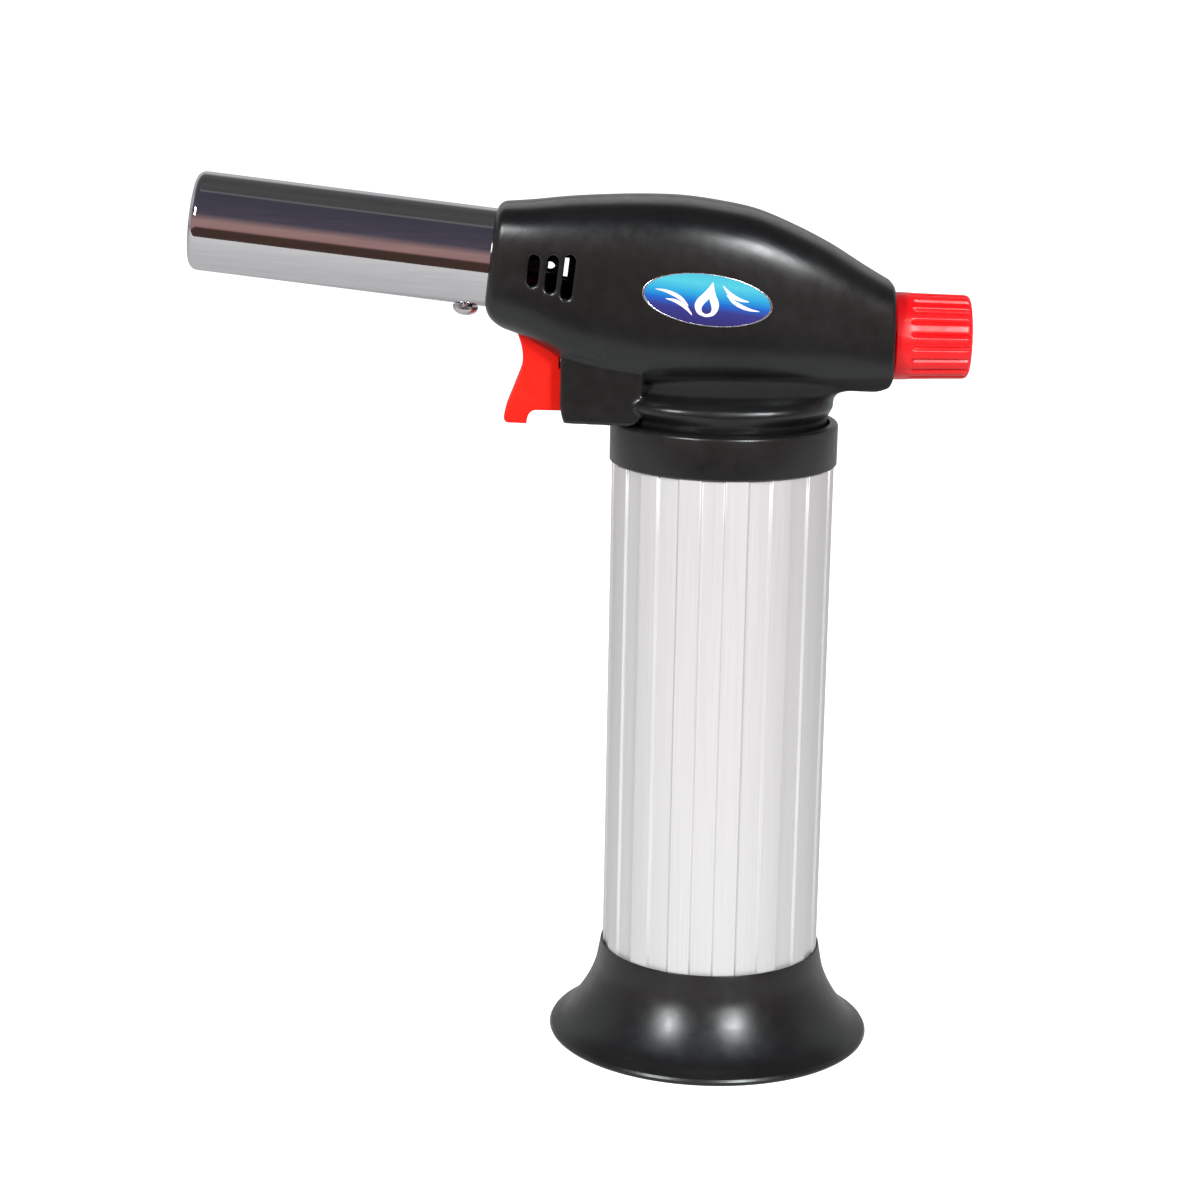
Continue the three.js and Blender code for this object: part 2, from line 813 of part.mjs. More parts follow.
const HEAD_SPIGOT_R = 22.4; // round foot of the neck, in the collar's mouth
const HEAD_SPIGOT = [136.9, 138.6];

// The neck from the collar up into the head: z, reach to -X, reach to +X, half-width, squareness.
const NECK_SECTIONS = [
  [138.5, 22.0, 22.0, 21.5, 2],
  [141.0, 22.2, 22.3, 21.7, 2.1],
  [142.2, 22.7, 22.8, 22.0, 2.3],
  [143.3, 23.1, 23.2, 22.2, 2.55],
  [144.4, 23.1, 23.2, 21.9, 2.6],
  [145.4, 22.5, 23.5, 20.9, 2.55],
  [146.4, 21.5, 24.6, 19.0, 2.45],
  [147.6, 20.2, 26.2, 16.4, 2.4],
  [149.4, 18.6, 25.8, 13.8, 2.4],
  [152.4, 17.2, 24.4, 12.2, 2.4],
  [157.0, 16.4, 21.6, 11.6, 2.4],
];

function neckBody(grow, sections = NECK_SECTIONS) {
  return loft(
    sections.map(([z, minus, plus, half, square]) =>
      roundedRing(26, plus + grow, minus + grow, half + grow, [square, square], (x, y) =>
        new THREE.Vector3(x, y, z))),
  );
}

// The trigger housing seen from above, moved inwards by inset, as a tall prism.
function blockPlan(inset) {
  const [from, to] = [BLOCK_X[0] + inset, BLOCK_X[1] - inset];
  const [front, rear] = BLOCK_HALF.map((half) => half - inset);
  const outline = [[from, -front], [to, -rear], [to, rear], [from, front]];
  const s = new THREE.Shape(outline.map(([x, y]) => new THREE.Vector2(x, y)));
  return solid(new THREE.ExtrudeGeometry(s, { depth: CUT, bevelEnabled: false }));
}

function blockBody() {
  const [from, to] = BLOCK_X;
  const s = new THREE.Shape();
  s.moveTo(from, 156.5);
  s.lineTo(from, 142.3);
  s.lineTo(from + 0.9, BLOCK_BOTTOM);
  s.lineTo(to - 3, BLOCK_BOTTOM);
  s.absarc(to - 3, BLOCK_BOTTOM + 3, 3, -Math.PI / 2, 0, false);
  s.lineTo(to, 156.5);
  s.closePath();
  return plate(s, -BLOCK_HALF[1], BLOCK_HALF[1], 5).intersect(blockPlan(0));
}

// Three ventilation slots through both sides, square to the barrel's tilt.
const VENTS = [
  [-41.2, 168.9, 175.5],
  [-37.35, 167.7, 175.5],
  [-33.9, 166.4, 175.7],
];
const VENT_R = 1.15;
function vents() {
  return VENTS.map(([x, low, high]) => {
    const s = new THREE.Shape();
    const half = (high - low) / 2 - VENT_R;
    s.absarc(0, half, VENT_R, 0, Math.PI, false);
    s.absarc(0, -half, VENT_R, Math.PI, 2 * Math.PI, false);
    s.closePath();
    const g = new THREE.ExtrudeGeometry(s, { depth: CUT, bevelEnabled: false, curveSegments: 5 });
    g.translate(0, 0, -CUT / 2);
    g.rotateX(Math.PI / 2);
    g.rotateY(THREE.MathUtils.degToRad(BARREL_TILT));
    g.translate(x, 0, (low + high) / 2);
    return solid(g);
  });
}

// Wedges that take off the head's lower front and lower rear corners.
function cornerCuts() {
  const corners = [
    [[-51.75, 163], [-49.4, 159.3], [-60, 150]],
    [[33.2, 145], [36.2, 148.4], [40, 140]],
  ];
  return corners.map((points) => {
    const s = new THREE.Shape(points.map(([x, z]) => new THREE.Vector2(x, z)));
    return plate(s, -CUT / 2, CUT / 2);
  });
}

// The hollow inside the shells, with a throat for the tank's neck, room for the valve, a pocket
// for the igniter and hollows beside the trigger's channel.
function headCavity() {
  const inner = headBody(-WALL, 14, 9);
  const front = inBarrel(block([-40, 40], [-40, 40], [HEAD_FACE - 3.2, 60]));
  const rear = block([REAR_FACE_X - REAR_WALL, 60], [-40, 40], [100, 200]);
  const throat = revolve(
    [
      [0, 141.2],
      [15.2, 141.2],
      [16.6, 143],
      [16.6, 145.3],
      [13.6, 146.6],
      [10.6, 149.6],
      [0, 149.6],
    ],
    20,
  );
  const pocket = PIEZO_HALF + 0.3;
  const channel = TRIGGER_HALF + 1.9;
  const beside = cut(
    block(BLOCK_X, [-BLOCK_HALF[1], BLOCK_HALF[1]], [CHANNEL_FLOOR + 0.8, 158]),
    block(BLOCK_X, [-channel, channel], [100, 200]),
  );
  return join(
    cut(inner, front, rear),
    throat,
    block([-9, 15.4], [-8.4, 8.4], [146, 158]),
    rod(CAP_NECK_R + 0.3, 130, 142, 28),
    block([-30.9, -6], [-pocket, pocket], [PIEZO_Z - pocket, PIEZO_Z + pocket]),
    beside.intersect(blockPlan(WALL)),
  );
}

function shellBody() {
  const spigot = rod(HEAD_SPIGOT_R, HEAD_SPIGOT[0], HEAD_SPIGOT[1], 28);
  const clampRib = ring(CLAMP_RIB_R, 16, CLAMP_RIB[0], CLAMP_RIB[1], 24);
  const face = inBarrel(block([-60, 60], [-60, 60], [HEAD_FACE, 60]));
  const back = block([REAR_FACE_X, 80], [-60, 60], [100, 200]);
  const head = cut(headBody(0), face, back, ...cornerCuts());
  const outside = join(head, neckBody(0), blockBody(), spigot);
  const bosses = SHELL_SCREWS.map(([x, z]) => rodY(SCREW.boss, -CUT / 2, CUT / 2, x, z, 12));
  const hollow = cut(headCavity(), ...bosses, clampRib);
  const slot = TRIGGER_HALF + 2 * RUNNING_GAP;
  const slotBack = CHEEK_BACK + TRIGGER_TRAVEL + 0.5;
  return cut(
    outside,
    hollow,
    inBarrel(rod(TUBE_R + SOFT_EDGE, TUBE_BACK - 0.6, 40, 28)),
    block([-45.4, slotBack], [-slot, slot], [140, TRIGGER_TOP + 0.5]),
    block([-60, -23.6], [-slot, slot], [CHANNEL_FLOOR, 153]),
    rodX(HUB_R + 1.4, 30.4, REAR_FACE_X - REAR_WALL, KNOB_Z, 24),
    rodX(HUB_R + 0.15, 30, 60, KNOB_Z, 24),
    rodX(SPINDLE_R + 0.6, 10, 40, KNOB_Z, 16),
    ...vents(),
  );
}

function headShells() {
  const whole = shellBody();
  const edge = PARTING_GAP / 2;
  const left = cut(
    whole.intersect(block([-90, 90], [-60, -edge], [100, 220])),
    ...SHELL_SCREWS.map(([x, z]) => rodY(SCREW.pilot, -screwDepth(x) - 1, 5, x, z, 12)),
  );
  const right = cut(
    whole.intersect(block([-90, 90], [edge, 60], [100, 220])),
    ...SHELL_SCREWS.map(([x, z]) => rodY(SCREW.clear, -5, 60, x, z, 12)),
    ...SHELL_SCREWS.map(([x, z]) => rodY(SCREW.head + 0.3, screwSeat(x), 60, x, z, 16)),
  );
  return { left, right };
}

// How far a shell screw reaches into the left shell, and where its head sits in the right one.
const screwDepth = (x) => (x > 20 ? 6 : 7);
function screwSeat(x) {
  if (x > 20) {
    return 6;
  }
  return x < 0 && x > -22 ? 7 : 7.5;
}

function shellScrew([x, z]) {
  const seat = screwSeat(x) + RUNNING_GAP;
  const headTop = seat + 1.7;
  const g = revolve(
    [
      [0, -screwDepth(x)],
      [SCREW.shank - 0.5, -screwDepth(x)],
      [SCREW.shank, -screwDepth(x) + 1.2],
      [SCREW.shank, seat],
      [SCREW.head, seat],
      [SCREW.head, seat + 0.9],
      [SCREW.head - 0.6, headTop],
      [0, headTop],
    ],
    10,
  );
  const slot = block([-1.6, 1.6], [-0.35, 0.35], [headTop - 0.9, headTop + 1]);
  const cross = join(slot, block([-0.35, 0.35], [-1.6, 1.6], [headTop - 0.9, headTop + 1]));
  const turn = new THREE.Matrix4().makeRotationX(-Math.PI / 2).setPosition(x, 0, z);
  return cut(g, cross).transform(matrixArray(turn));
}

// A thin oval plate that lies on the left shell's curved side.
function labelPlate() {
  const s = new THREE.Shape();
  s.absellipse(0, 0, 13.7, 5.45, 0, 2 * Math.PI, false);
  const g = new THREE.ExtrudeGeometry(s, { depth: 40, bevelEnabled: false, curveSegments: 20 });
  g.rotateX(Math.PI / 2);
  g.rotateY(THREE.MathUtils.degToRad(6.6));
  g.translate(-4.9, 0, 167.2);
  return cut(headBody(0.5).intersect(solid(g)), headBody(0.06));
}

// ---- Assembly ----
add(tankFrame, "foot", foot(), blackPlastic());
add(tankFrame, "tank_sleeve", sleeve(), aluminium());
add(tankFrame, "tank_shell", tankShell(), nylon());
add(tankFrame, "tank_cap", tankCap(), nylon());
add(tankFrame, "tank_cap_oring", revolve(oRing(SPIGOT_R - 0.5, 125.75, 0.62), 28), rubber());
add(tankFrame, "collar", collar(), blackPlastic());

add(tankFrame, "refill_valve_body", refillBody(), brass());
add(tankFrame, "refill_gasket", ring(4.1, 5.4, 11.15, 11.95), rubber());
add(tankFrame, "refill_stem", refillStem(), brass());
add(tankFrame, "refill_seal", ring(1.6, 2.4, 12.6, 13.2, 20), rubber());
add(tankFrame, "refill_spring", coil(1.85, 0.25, 15, 22.7, 4), steel());

add(tankFrame, "valve_body", valveBody(), brass());
add(tankFrame, "valve_locknut", cut(hexagon(8.6, 120.2, 123.8), rod(5.1, 119, 125)), brass());
add(tankFrame, "valve_gasket", ring(5.2, 7.3, 145.1, 146.3), rubber());
add(tankFrame, "pickup_tube", ring(0.9, 1.65, 92, 117.9, 16), nylon());
const filter = cut(rod(3.2, 84, 95, 20), rod(1.75, 91.8, 96, 16));
add(tankFrame, "pickup_filter", filter, finish(0xe8e4d4, 0.9));
add(tankFrame, "valve_spindle", spindle(), steel());
add(
  tankFrame,
  "spindle_oring",
  revolve(oRing(2.7, 10.8, 0.55), 24).transform(matrixArray(xAxisMatrix(KNOB_Z))),
  rubber(),
);
add(tankFrame, "gland_nut", glandNut(), brass());
add(tankFrame, "gas_line", gasLine(), finish(0xb87345, 0.3, 1));
add(tankFrame, "flame_knob", knob(), redPlastic());

add(tankFrame, "trigger", trigger(), triggerPlastic());
add(tankFrame, "piezo_case", piezoCase(), finish(0x3b3a36, 0.5));
add(tankFrame, "piezo_plunger", piezoPlunger(), finish(0xe6e3da, 0.45));
add(
  tankFrame,
  "igniter_spring",
  coil(1.6, 0.3, -26.6, -11.6, 6).transform(matrixArray(xAxisMatrix(PIEZO_Z))),
  steel(),
);
const contact = rodX(2.4, PIEZO_X[1] + RUNNING_GAP, PIEZO_X[1] + 1, PIEZO_Z);
add(tankFrame, "piezo_contact", contact, brass());
add(tankFrame, "igniter_lead", igniterLead(), finish(0x1d1d1f, 0.6));

const shells = headShells();
add(tankFrame, "shell_left", shells.left, blackPlastic());
add(tankFrame, "shell_right", shells.right, blackPlastic());
add(tankFrame, "label_plate", labelPlate(), finish(0x1a5fb4, 0.25));
SHELL_SCREWS.forEach((place, i) => {
  add(tankFrame, "shell_screw_" + (i + 1), shellScrew(place), steel());
});

add(barrel, "flame_tube", flameTube(), chrome());
add(barrel, "tube_screw", tubeScrew(), steel());
add(barrel, "burner_holder", burnerHolder(), brass());
add(barrel, "mixing_tube", mixingTube(), darkSteel());
add(barrel, "jet_holder", jetHolder(), darkSteel());
add(barrel, "gas_jet", gasJet(), brass());
add(barrel, "flame_holder", flameHolder(), steel());
add(barrel, "flame_nozzle", flameNozzle(), brass());
add(barrel, "electrode_insulator", insulator(), ceramic());
add(barrel, "spark_electrode", electrode(), steel());

export default torch;
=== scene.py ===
# A refillable butane torch for jewellery making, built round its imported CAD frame.
import json
import math

import bmesh
import bpy
import numpy as np
from mathutils import Matrix, Vector


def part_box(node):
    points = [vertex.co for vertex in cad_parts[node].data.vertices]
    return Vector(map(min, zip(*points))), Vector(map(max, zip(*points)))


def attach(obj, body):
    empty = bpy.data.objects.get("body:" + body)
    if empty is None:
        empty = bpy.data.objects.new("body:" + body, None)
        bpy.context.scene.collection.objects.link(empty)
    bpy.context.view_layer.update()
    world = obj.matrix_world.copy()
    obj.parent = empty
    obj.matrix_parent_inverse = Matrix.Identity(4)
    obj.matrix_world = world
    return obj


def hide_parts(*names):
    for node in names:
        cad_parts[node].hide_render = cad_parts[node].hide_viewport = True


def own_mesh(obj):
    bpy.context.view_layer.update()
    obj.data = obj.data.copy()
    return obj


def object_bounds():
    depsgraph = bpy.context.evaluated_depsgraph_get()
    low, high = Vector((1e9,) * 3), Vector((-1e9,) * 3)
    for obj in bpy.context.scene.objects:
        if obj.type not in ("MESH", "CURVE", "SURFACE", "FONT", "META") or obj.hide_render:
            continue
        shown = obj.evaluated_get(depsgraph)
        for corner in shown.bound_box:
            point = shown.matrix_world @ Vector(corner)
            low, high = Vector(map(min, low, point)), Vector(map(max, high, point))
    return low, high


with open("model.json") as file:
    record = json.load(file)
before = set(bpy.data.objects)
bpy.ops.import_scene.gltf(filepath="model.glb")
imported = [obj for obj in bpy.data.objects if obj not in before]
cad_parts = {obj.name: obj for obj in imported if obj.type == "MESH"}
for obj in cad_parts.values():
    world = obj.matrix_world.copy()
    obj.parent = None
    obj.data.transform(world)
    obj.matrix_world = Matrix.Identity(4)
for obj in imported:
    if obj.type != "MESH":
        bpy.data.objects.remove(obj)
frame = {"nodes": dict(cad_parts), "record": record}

cad_low, cad_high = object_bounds()
scene = bpy.context.scene

# Shape functions work in millimetres in the tank's frame: Z runs up the tank's axis, -X towards the
# flame and -Y towards the side with the label. piece() turns them into metres in the row frame.
MM = 0.001
AXIS_X = (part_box("foot")[0].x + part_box("foot")[1].x) / 2 / MM

# ---- Dimensions, as in the CAD source ----
FOOT_R = 35.7
FOOT_TOP = 21
FOOT_SEAT = 16.8
FOOT_WEB = (9.4, 11.8)
FOOT_HOLE_R = 7
SLEEVE_R = 24
SLEEVE_BORE_R = 22.5
SLEEVE_TOP = 130.1
FLUTES = 15
FLUTE_DEPTH = 0.5
FLUTE_PHASE = 5.3
TANK_R = 21.9
COLLAR_R = 24.58
COLLAR_LOW = 130.2
COLLAR_TOP = 139.4
SPIGOT_BORE_R = 22.75
SPIGOT_R = 22.4
SPIGOT = (136.9, 138.6)
NECK_R = 14
CLAMP_RIB_R = 12.9
CLAMP_RIB = (139.4, 140.6)

BARREL_TILT = math.radians(6.2)
BARREL_X = -50
BARREL_Z = 173.09
HEAD_FACE = 0.5
REAR_FACE_X = 35.2
REAR_WALL = 2.2
WALL = 2.2
FACE_WALL = 3.2
PARTING_GAP = 0.1
LOOSE = 0.3
OPENING_EDGE = 0.35

TUBE_R = 10.5
TUBE_WALL = 0.8
TUBE_BACK = -6.4
TUBE_MOUTH = 64.2
TUBE_ROLL = 1.9
TUBE_SCREW_AT = 4.8
MIXER_R = 4.3
ELECTRODE_OFFSET = 7

KNOB_Z = 158
KNOB_FROM = 35.5
KNOB_TO = 51.8
KNOB_R = 9.35
KNOB_RIBS = 20
HUB_R = 5.6

BLOCK_HALF = (12, 14.8)
BLOCK_FROM = -35.3
BLOCK_TO = -17.9
BLOCK_BOTTOM = 139.6
BLOCK_TOP = 158
CHANNEL_FLOOR = 141
TRIGGER_HALF = 6
TRIGGER_TRAVEL = 6
TRIGGER_TOP = 160.5
CHEEK_BACK = BLOCK_FROM - 0.3
PUSHER_X = -36.7
SLOT_HALF = 6.2
PIEZO_Z = 155.6
PIEZO_HALF = 4.8

# Screws of the head: x, z, where the screw head sits in Y, and how deep the screw reaches.
SHELL_SCREWS = [
    (-26, 181.2, 7.5, 7),
    (8, 179.6, 7.5, 7),
    (27.2, 167.6, 6, 6),
    (27, 149.8, 6, 6),
    (-20.4, 146, 7, 7),
]
BOSS_R = 3.9
SCREW_SHANK_R = 1.25
SCREW_HEAD_R = 2.6
SCREW_CLEAR_R = 1.5
SCREW_PILOT_R = 1.35
SCREW_RECESS_R = 2.9

# The oval label: its middle, its half-length and half-height, and its tilt.
LABEL_X = -4.9
LABEL_Z = 167.2
LABEL_LONG = 13.7
LABEL_UP = 5.45
LABEL_TILT = math.radians(6.6)

# ---- How finely shapes are drawn ----
ARC_STEPS = 5
COIL_STEPS = 40
COIL_SIDES = 10
LABEL_POINTS = 128
SETTLE_STEPS = 3
SETTLE_PROBE = 0.03
SETTLE_MOST = 0.25


# ---- Curves and meshes ----
def catmull(rows, per_span):
    """A Catmull-Rom curve through rows of points, with per_span steps between neighbours."""
    rows = np.asarray(rows, float)
    padded = np.vstack([2 * rows[0] - rows[1], rows, 2 * rows[-1] - rows[-2]])
    out = []
    for i in range(len(rows) - 1):
        p0, p1, p2, p3 = padded[i : i + 4]
        for k in range(per_span):
            t = k / per_span
            out.append(catmull_point(p0, p1, p2, p3, t))
    out.append(rows[-1])
    return np.array(out)


def catmull_point(p0, p1, p2, p3, t):
    """The point at share t between p1 and p2."""
    linear = p2 - p0
    square = 2 * p0 - 5 * p1 + 4 * p2 - p3
    cubic = 3 * (p1 - p2) + p3 - p0
    return 0.5 * (2 * p1 + linear * t + square * t**2 + cubic * t**3)


def softened(corners):
    """A closed outline of (u, v) or (u, v, radius) corners, each radius turned into an arc."""
    out = []
    for i, corner in enumerate(corners):
        here = np.array(corner[:2], float)
        radius = corner[2] if len(corner) > 2 else 0
        if not radius:
            out.append(tuple(here))
            continue
        before = np.array(corners[i - 1][:2], float) - here
        after = np.array(corners[(i + 1) % len(corners)][:2], float) - here
        lengths = np.linalg.norm(before), np.linalg.norm(after)
        before /= lengths[0]
        after /= lengths[1]
        half = math.acos(np.clip(before @ after, -1, 1)) / 2
        reach = min(radius / math.tan(half), 0.49 * min(lengths))
        middle = before + after
        centre = here + middle / np.linalg.norm(middle) * reach / math.cos(half)
        start = here + before * reach - centre
        end = here + after * reach - centre
        turn = math.pi - 2 * half
        for k in range(ARC_STEPS + 1):
            s = k / ARC_STEPS
            mixed = math.sin((1 - s) * turn) * start + math.sin(s * turn) * end
            out.append(tuple(centre + mixed / math.sin(turn)))
    return out


def lofted(rings, closed=False):
    """Points and faces of rings joined in order. Open lofts get flat end faces."""
    rings = [np.asarray(r, float) for r in rings]
    count = len(rings[0])
    faces = []
    spans = len(rings) if closed else len(rings) - 1
    for i in range(spans):
        a = i * count
        b = ((i + 1) % len(rings)) * count
        for k in range(count):
            m = (k + 1) % count
            faces.append((a + k, a + m, b + m, b + k))
    if not closed:
        last = (len(rings) - 1) * count
        faces.append(tuple(range(count))[::-1])
        faces.append(tuple(range(last, last + count)))
    return np.vstack(rings), faces


def revolved(profile, segments=96):
    """Points and faces of a closed profile of (radius, z), turned about Z."""
    angles = np.arange(segments) * 2 * math.pi / segments
    verts = []
    rows = []
    for r, z in profile:
        start = len(verts)
        if abs(r) < 1e-6:
            verts.append((0, 0, z))
            rows.append([start] * segments)
        else:
            verts += [(r * math.cos(a), r * math.sin(a), z) for a in angles]
            rows.append(list(range(start, start + segments)))
    faces = []
    for i, a in enumerate(rows):
        b = rows[(i + 1) % len(rows)]
        for k in range(segments):
            m = (k + 1) % segments
            corners = list(dict.fromkeys((a[k], a[m], b[m], b[k])))
            if len(corners) > 2:
                faces.append(tuple(corners))
    return np.array(verts), faces


def along_x(verts, z):
    """Turns Z into X and lifts the result to height z."""
    v = np.asarray(verts, float)
    return np.stack([v[:, 2], v[:, 1], z - v[:, 0]], 1)


def along_y(verts, x, z):
    """Turns Z into Y, about a line at x and z."""
    v = np.asarray(verts, float)
    return np.stack([x + v[:, 0], v[:, 2], z - v[:, 1]], 1)


def in_barrel(verts):
    """From the barrel's own frame, +Z to its mouth and +X upwards across it."""
    v = np.asarray(verts, float)
    c, s = math.cos(BARREL_TILT), math.sin(BARREL_TILT)
    x = BARREL_X + s * v[:, 0] - c * v[:, 2]
    z = BARREL_Z + c * v[:, 0] + s * v[:, 2]
    return np.stack([x, v[:, 1], z], 1)


def mesh_of(name, verts, faces, turned_out=False):
    """A mesh in the row frame from millimetre points, with its faces turned outwards."""
    mesh = bpy.data.meshes.new(name)
    points = (np.asarray(verts, float) + (AXIS_X, 0, 0)) * MM
    mesh.from_pydata(points.tolist(), [], [list(map(int, f)) for f in faces])
    if not turned_out:
        bm = bmesh.new()
        bm.from_mesh(mesh)
        bmesh.ops.recalc_face_normals(bm, faces=bm.faces)
        bm.to_mesh(mesh)
        bm.free()
    return mesh


def piece(
    name, verts, faces, slot, body="housing", stands_for=(), sharp=35, turned_out=False, look=None
):
    """A mesh object of millimetre points in its slot's material, or in look's, riding on a body."""
    mesh = mesh_of(name, verts, faces, turned_out)
    mesh.shade_smooth()
    mesh.set_sharp_from_angle(angle=math.radians(sharp))
    obj = bpy.data.objects.new(name, mesh)
    scene.collection.objects.link(obj)
    mesh.materials.append(MATERIALS[look or slot])
    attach(obj, body)
    if stands_for:
        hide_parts(*stands_for)
    return obj


def carve(obj, verts, faces, sharp=35):
    """Takes a closed millimetre mesh out of obj."""
    mesh = mesh_of("cutter", verts, faces)
    tool = bpy.data.objects.new("cutter", mesh)
    scene.collection.objects.link(tool)
    cut = obj.modifiers.new("cut", "BOOLEAN")
    cut.operation = "DIFFERENCE"
    cut.solver = "MANIFOLD"
    cut.object = tool
    bpy.context.view_layer.update()
    made = bpy.data.meshes.new_from_object(obj.evaluated_get(bpy.context.evaluated_depsgraph_get()))
    obj.modifiers.remove(cut)
    old = obj.data
    obj.data = made
    made.name = obj.name
    bpy.data.meshes.remove(old)
    bpy.data.objects.remove(tool)
    bpy.data.meshes.remove(mesh)
    made.shade_smooth()
    made.set_sharp_from_angle(angle=math.radians(sharp))


# ---- Materials ----
def shader(name, base, roughness, metallic=0.0):
    """A Principled material and its node tree."""
    material = bpy.data.materials.new(name)
    material.use_nodes = True
    tree = material.node_tree
    bsdf = tree.nodes["Principled BSDF"]
    bsdf.inputs["Base Color"].default_value = (*base, 1)
    bsdf.inputs["Roughness"].default_value = roughness
    bsdf.inputs["Metallic"].default_value = metallic
    return material, tree, bsdf


def node(tree, kind, **settings):
    """A new node with its settings."""
    made = tree.nodes.new(kind)
    for key, value in settings.items():
        setattr(made, key, value)
    return made


def object_noise(tree, scale, stretch=(1, 1, 1), detail=3.0, roughness=0.55):
    """Noise in object space, in grains per millimetre along each axis; returns its value."""
    where = node(tree, "ShaderNodeTexCoord")
    mapping = node(tree, "ShaderNodeMapping")
    mapping.inputs["Scale"].default_value = [scale * s / MM for s in stretch]
    grain = node(tree, "ShaderNodeTexNoise")
    grain.inputs["Scale"].default_value = 1
    grain.inputs["Detail"].default_value = detail
    grain.inputs["Roughness"].default_value = roughness
    tree.links.new(where.outputs["Object"], mapping.inputs["Vector"])
    tree.links.new(mapping.outputs["Vector"], grain.inputs["Vector"])
    return grain.outputs["Fac"]


def mapped(tree, value, from_low, from_high, to_low=0.0, to_high=1.0, how="LINEAR"):
    """value moved from the first range to the second, and kept inside it."""
    spread = node(tree, "ShaderNodeMapRange", interpolation_type=how)
    spread.inputs["From Min"].default_value = from_low
    spread.inputs["From Max"].default_value = from_high
    spread.inputs["To Min"].default_value = to_low
    spread.inputs["To Max"].default_value = to_high
    tree.links.new(value, spread.inputs["Value"])
    return spread.outputs["Result"]


def combined(tree, operation, first, second, clamp=False):
    """Two values put together by a Math node."""
    maths = node(tree, "ShaderNodeMath", operation=operation, use_clamp=clamp)
    tree.links.new(first, maths.inputs[0])
    tree.links.new(second, maths.inputs[1])
    return maths.outputs["Value"]


def axes_of(tree, space):
    """The X, Y and Z of a point in a texture coordinate's space."""
    where = node(tree, "ShaderNodeTexCoord")
    apart = node(tree, "ShaderNodeSeparateXYZ")
    tree.links.new(where.outputs[space], apart.inputs["Vector"])
    return apart.outputs


def ranged(tree, noise, low, high):
    """The middle of a noise's spread moved to low..high."""
    return mapped(tree, noise, 0.3, 0.7, low, high)


def colours(tree, value, stops):
    """A colour by value, from stops of a place and a colour."""
    ramp = node(tree, "ShaderNodeValToRGB")
    elements = ramp.color_ramp.elements
    elements.remove(elements[1])
    elements[0].position = stops[0][0]
    elements[0].color = (*stops[0][1], 1)
    for place, colour in stops[1:]:
        elements.new(place).color = (*colour, 1)
    tree.links.new(value, ramp.inputs["Fac"])
    return ramp.outputs["Color"]


def blended(tree, noise, first, second):
    """A colour between first and second, by noise."""
    return colours(tree, noise, [(0.32, first), (0.68, second)])


def bumped(tree, bsdf, value, depth, strength=1.0):
    """A bump of that depth in millimetres."""
    bump = node(tree, "ShaderNodeBump")
    bump.inputs["Strength"].default_value = strength
    bump.inputs["Distance"].default_value = depth * MM
    tree.links.new(value, bump.inputs["Height"])
    tree.links.new(bump.outputs["Normal"], bsdf.inputs["Normal"])


# The crease between neck and head, as ranges in the row frame over which the matt area sets in.
CREASE = [("Z", 146.3, 147.2), ("Z", 151.2, 149.8), ("X", AXIS_X - 18.4, AXIS_X - 17.6)]
CREASE_MATT = 0.84


def crease_band(tree):
    """0.6 in the crease between neck and head, where the mould is left matt, and 0 elsewhere."""
    place = axes_of(tree, "Object")
    sides = [
        mapped(tree, place[axis], low * MM, high * MM, 0, CREASE_MATT, "SMOOTHSTEP")
        for axis, low, high in CREASE
    ]
    both = combined(tree, "MULTIPLY", sides[0], sides[1])
    return combined(tree, "MULTIPLY", both, sides[2])


def black_plastic():
    material, tree, bsdf = shader("black_plastic", (0.007, 0.0066, 0.0068), 0.3)
    bsdf.inputs["Specular Tint"].default_value = (0.95, 1, 1, 1)
    cloud = object_noise(tree, 0.05, detail=4)
    colour = blended(tree, cloud, (0.0046, 0.0048, 0.005), (0.0078, 0.0081, 0.0083))
    tree.links.new(colour, bsdf.inputs["Base Color"])
    grain = object_noise(tree, 3.2, detail=2)
    gloss = ranged(tree, object_noise(tree, 0.35), 0.27, 0.34)
    dulled = combined(tree, "ADD", gloss, crease_band(tree), clamp=True)
    tree.links.new(dulled, bsdf.inputs["Roughness"])
    bumped(tree, bsdf, grain, 0.012, 0.45)
    return material


def plain_plastic(name, low, high, roughness, grain_depth=0.006, coat=0.0, specular=0.5):
    """Moulded plastic whose colour drifts between low and high."""
    material, tree, bsdf = shader(name, low, roughness)
    bsdf.inputs["Coat Weight"].default_value = coat
    bsdf.inputs["Coat Roughness"].default_value = 0.12
    bsdf.inputs["Specular IOR Level"].default_value = specular
    tree.links.new(blended(tree, object_noise(tree, 0.12), low, high), bsdf.inputs["Base Color"])
    gloss = ranged(tree, object_noise(tree, 0.6), roughness * 0.88, roughness * 1.14)
    tree.links.new(gloss, bsdf.inputs["Roughness"])
    bumped(tree, bsdf, object_noise(tree, 2.5, detail=2), grain_depth, 0.5)
    return material


def drawn_aluminium():
    """Satin anodised aluminium with fine lines along Z from drawing."""
    material, tree, bsdf = shader("anodised_aluminium", (0.68, 0.68, 0.69), 0.45, 0.35)
    lines = object_noise(tree, 1.0, stretch=(4, 4, 0.03), detail=5, roughness=0.7)
    colour = blended(tree, lines, (0.585, 0.597, 0.595), (0.645, 0.657, 0.655))
    tree.links.new(colour, bsdf.inputs["Base Color"])
    tree.links.new(ranged(tree, lines, 0.42, 0.52), bsdf.inputs["Roughness"])
    bumped(tree, bsdf, lines, 0.003, 0.3)
    return material


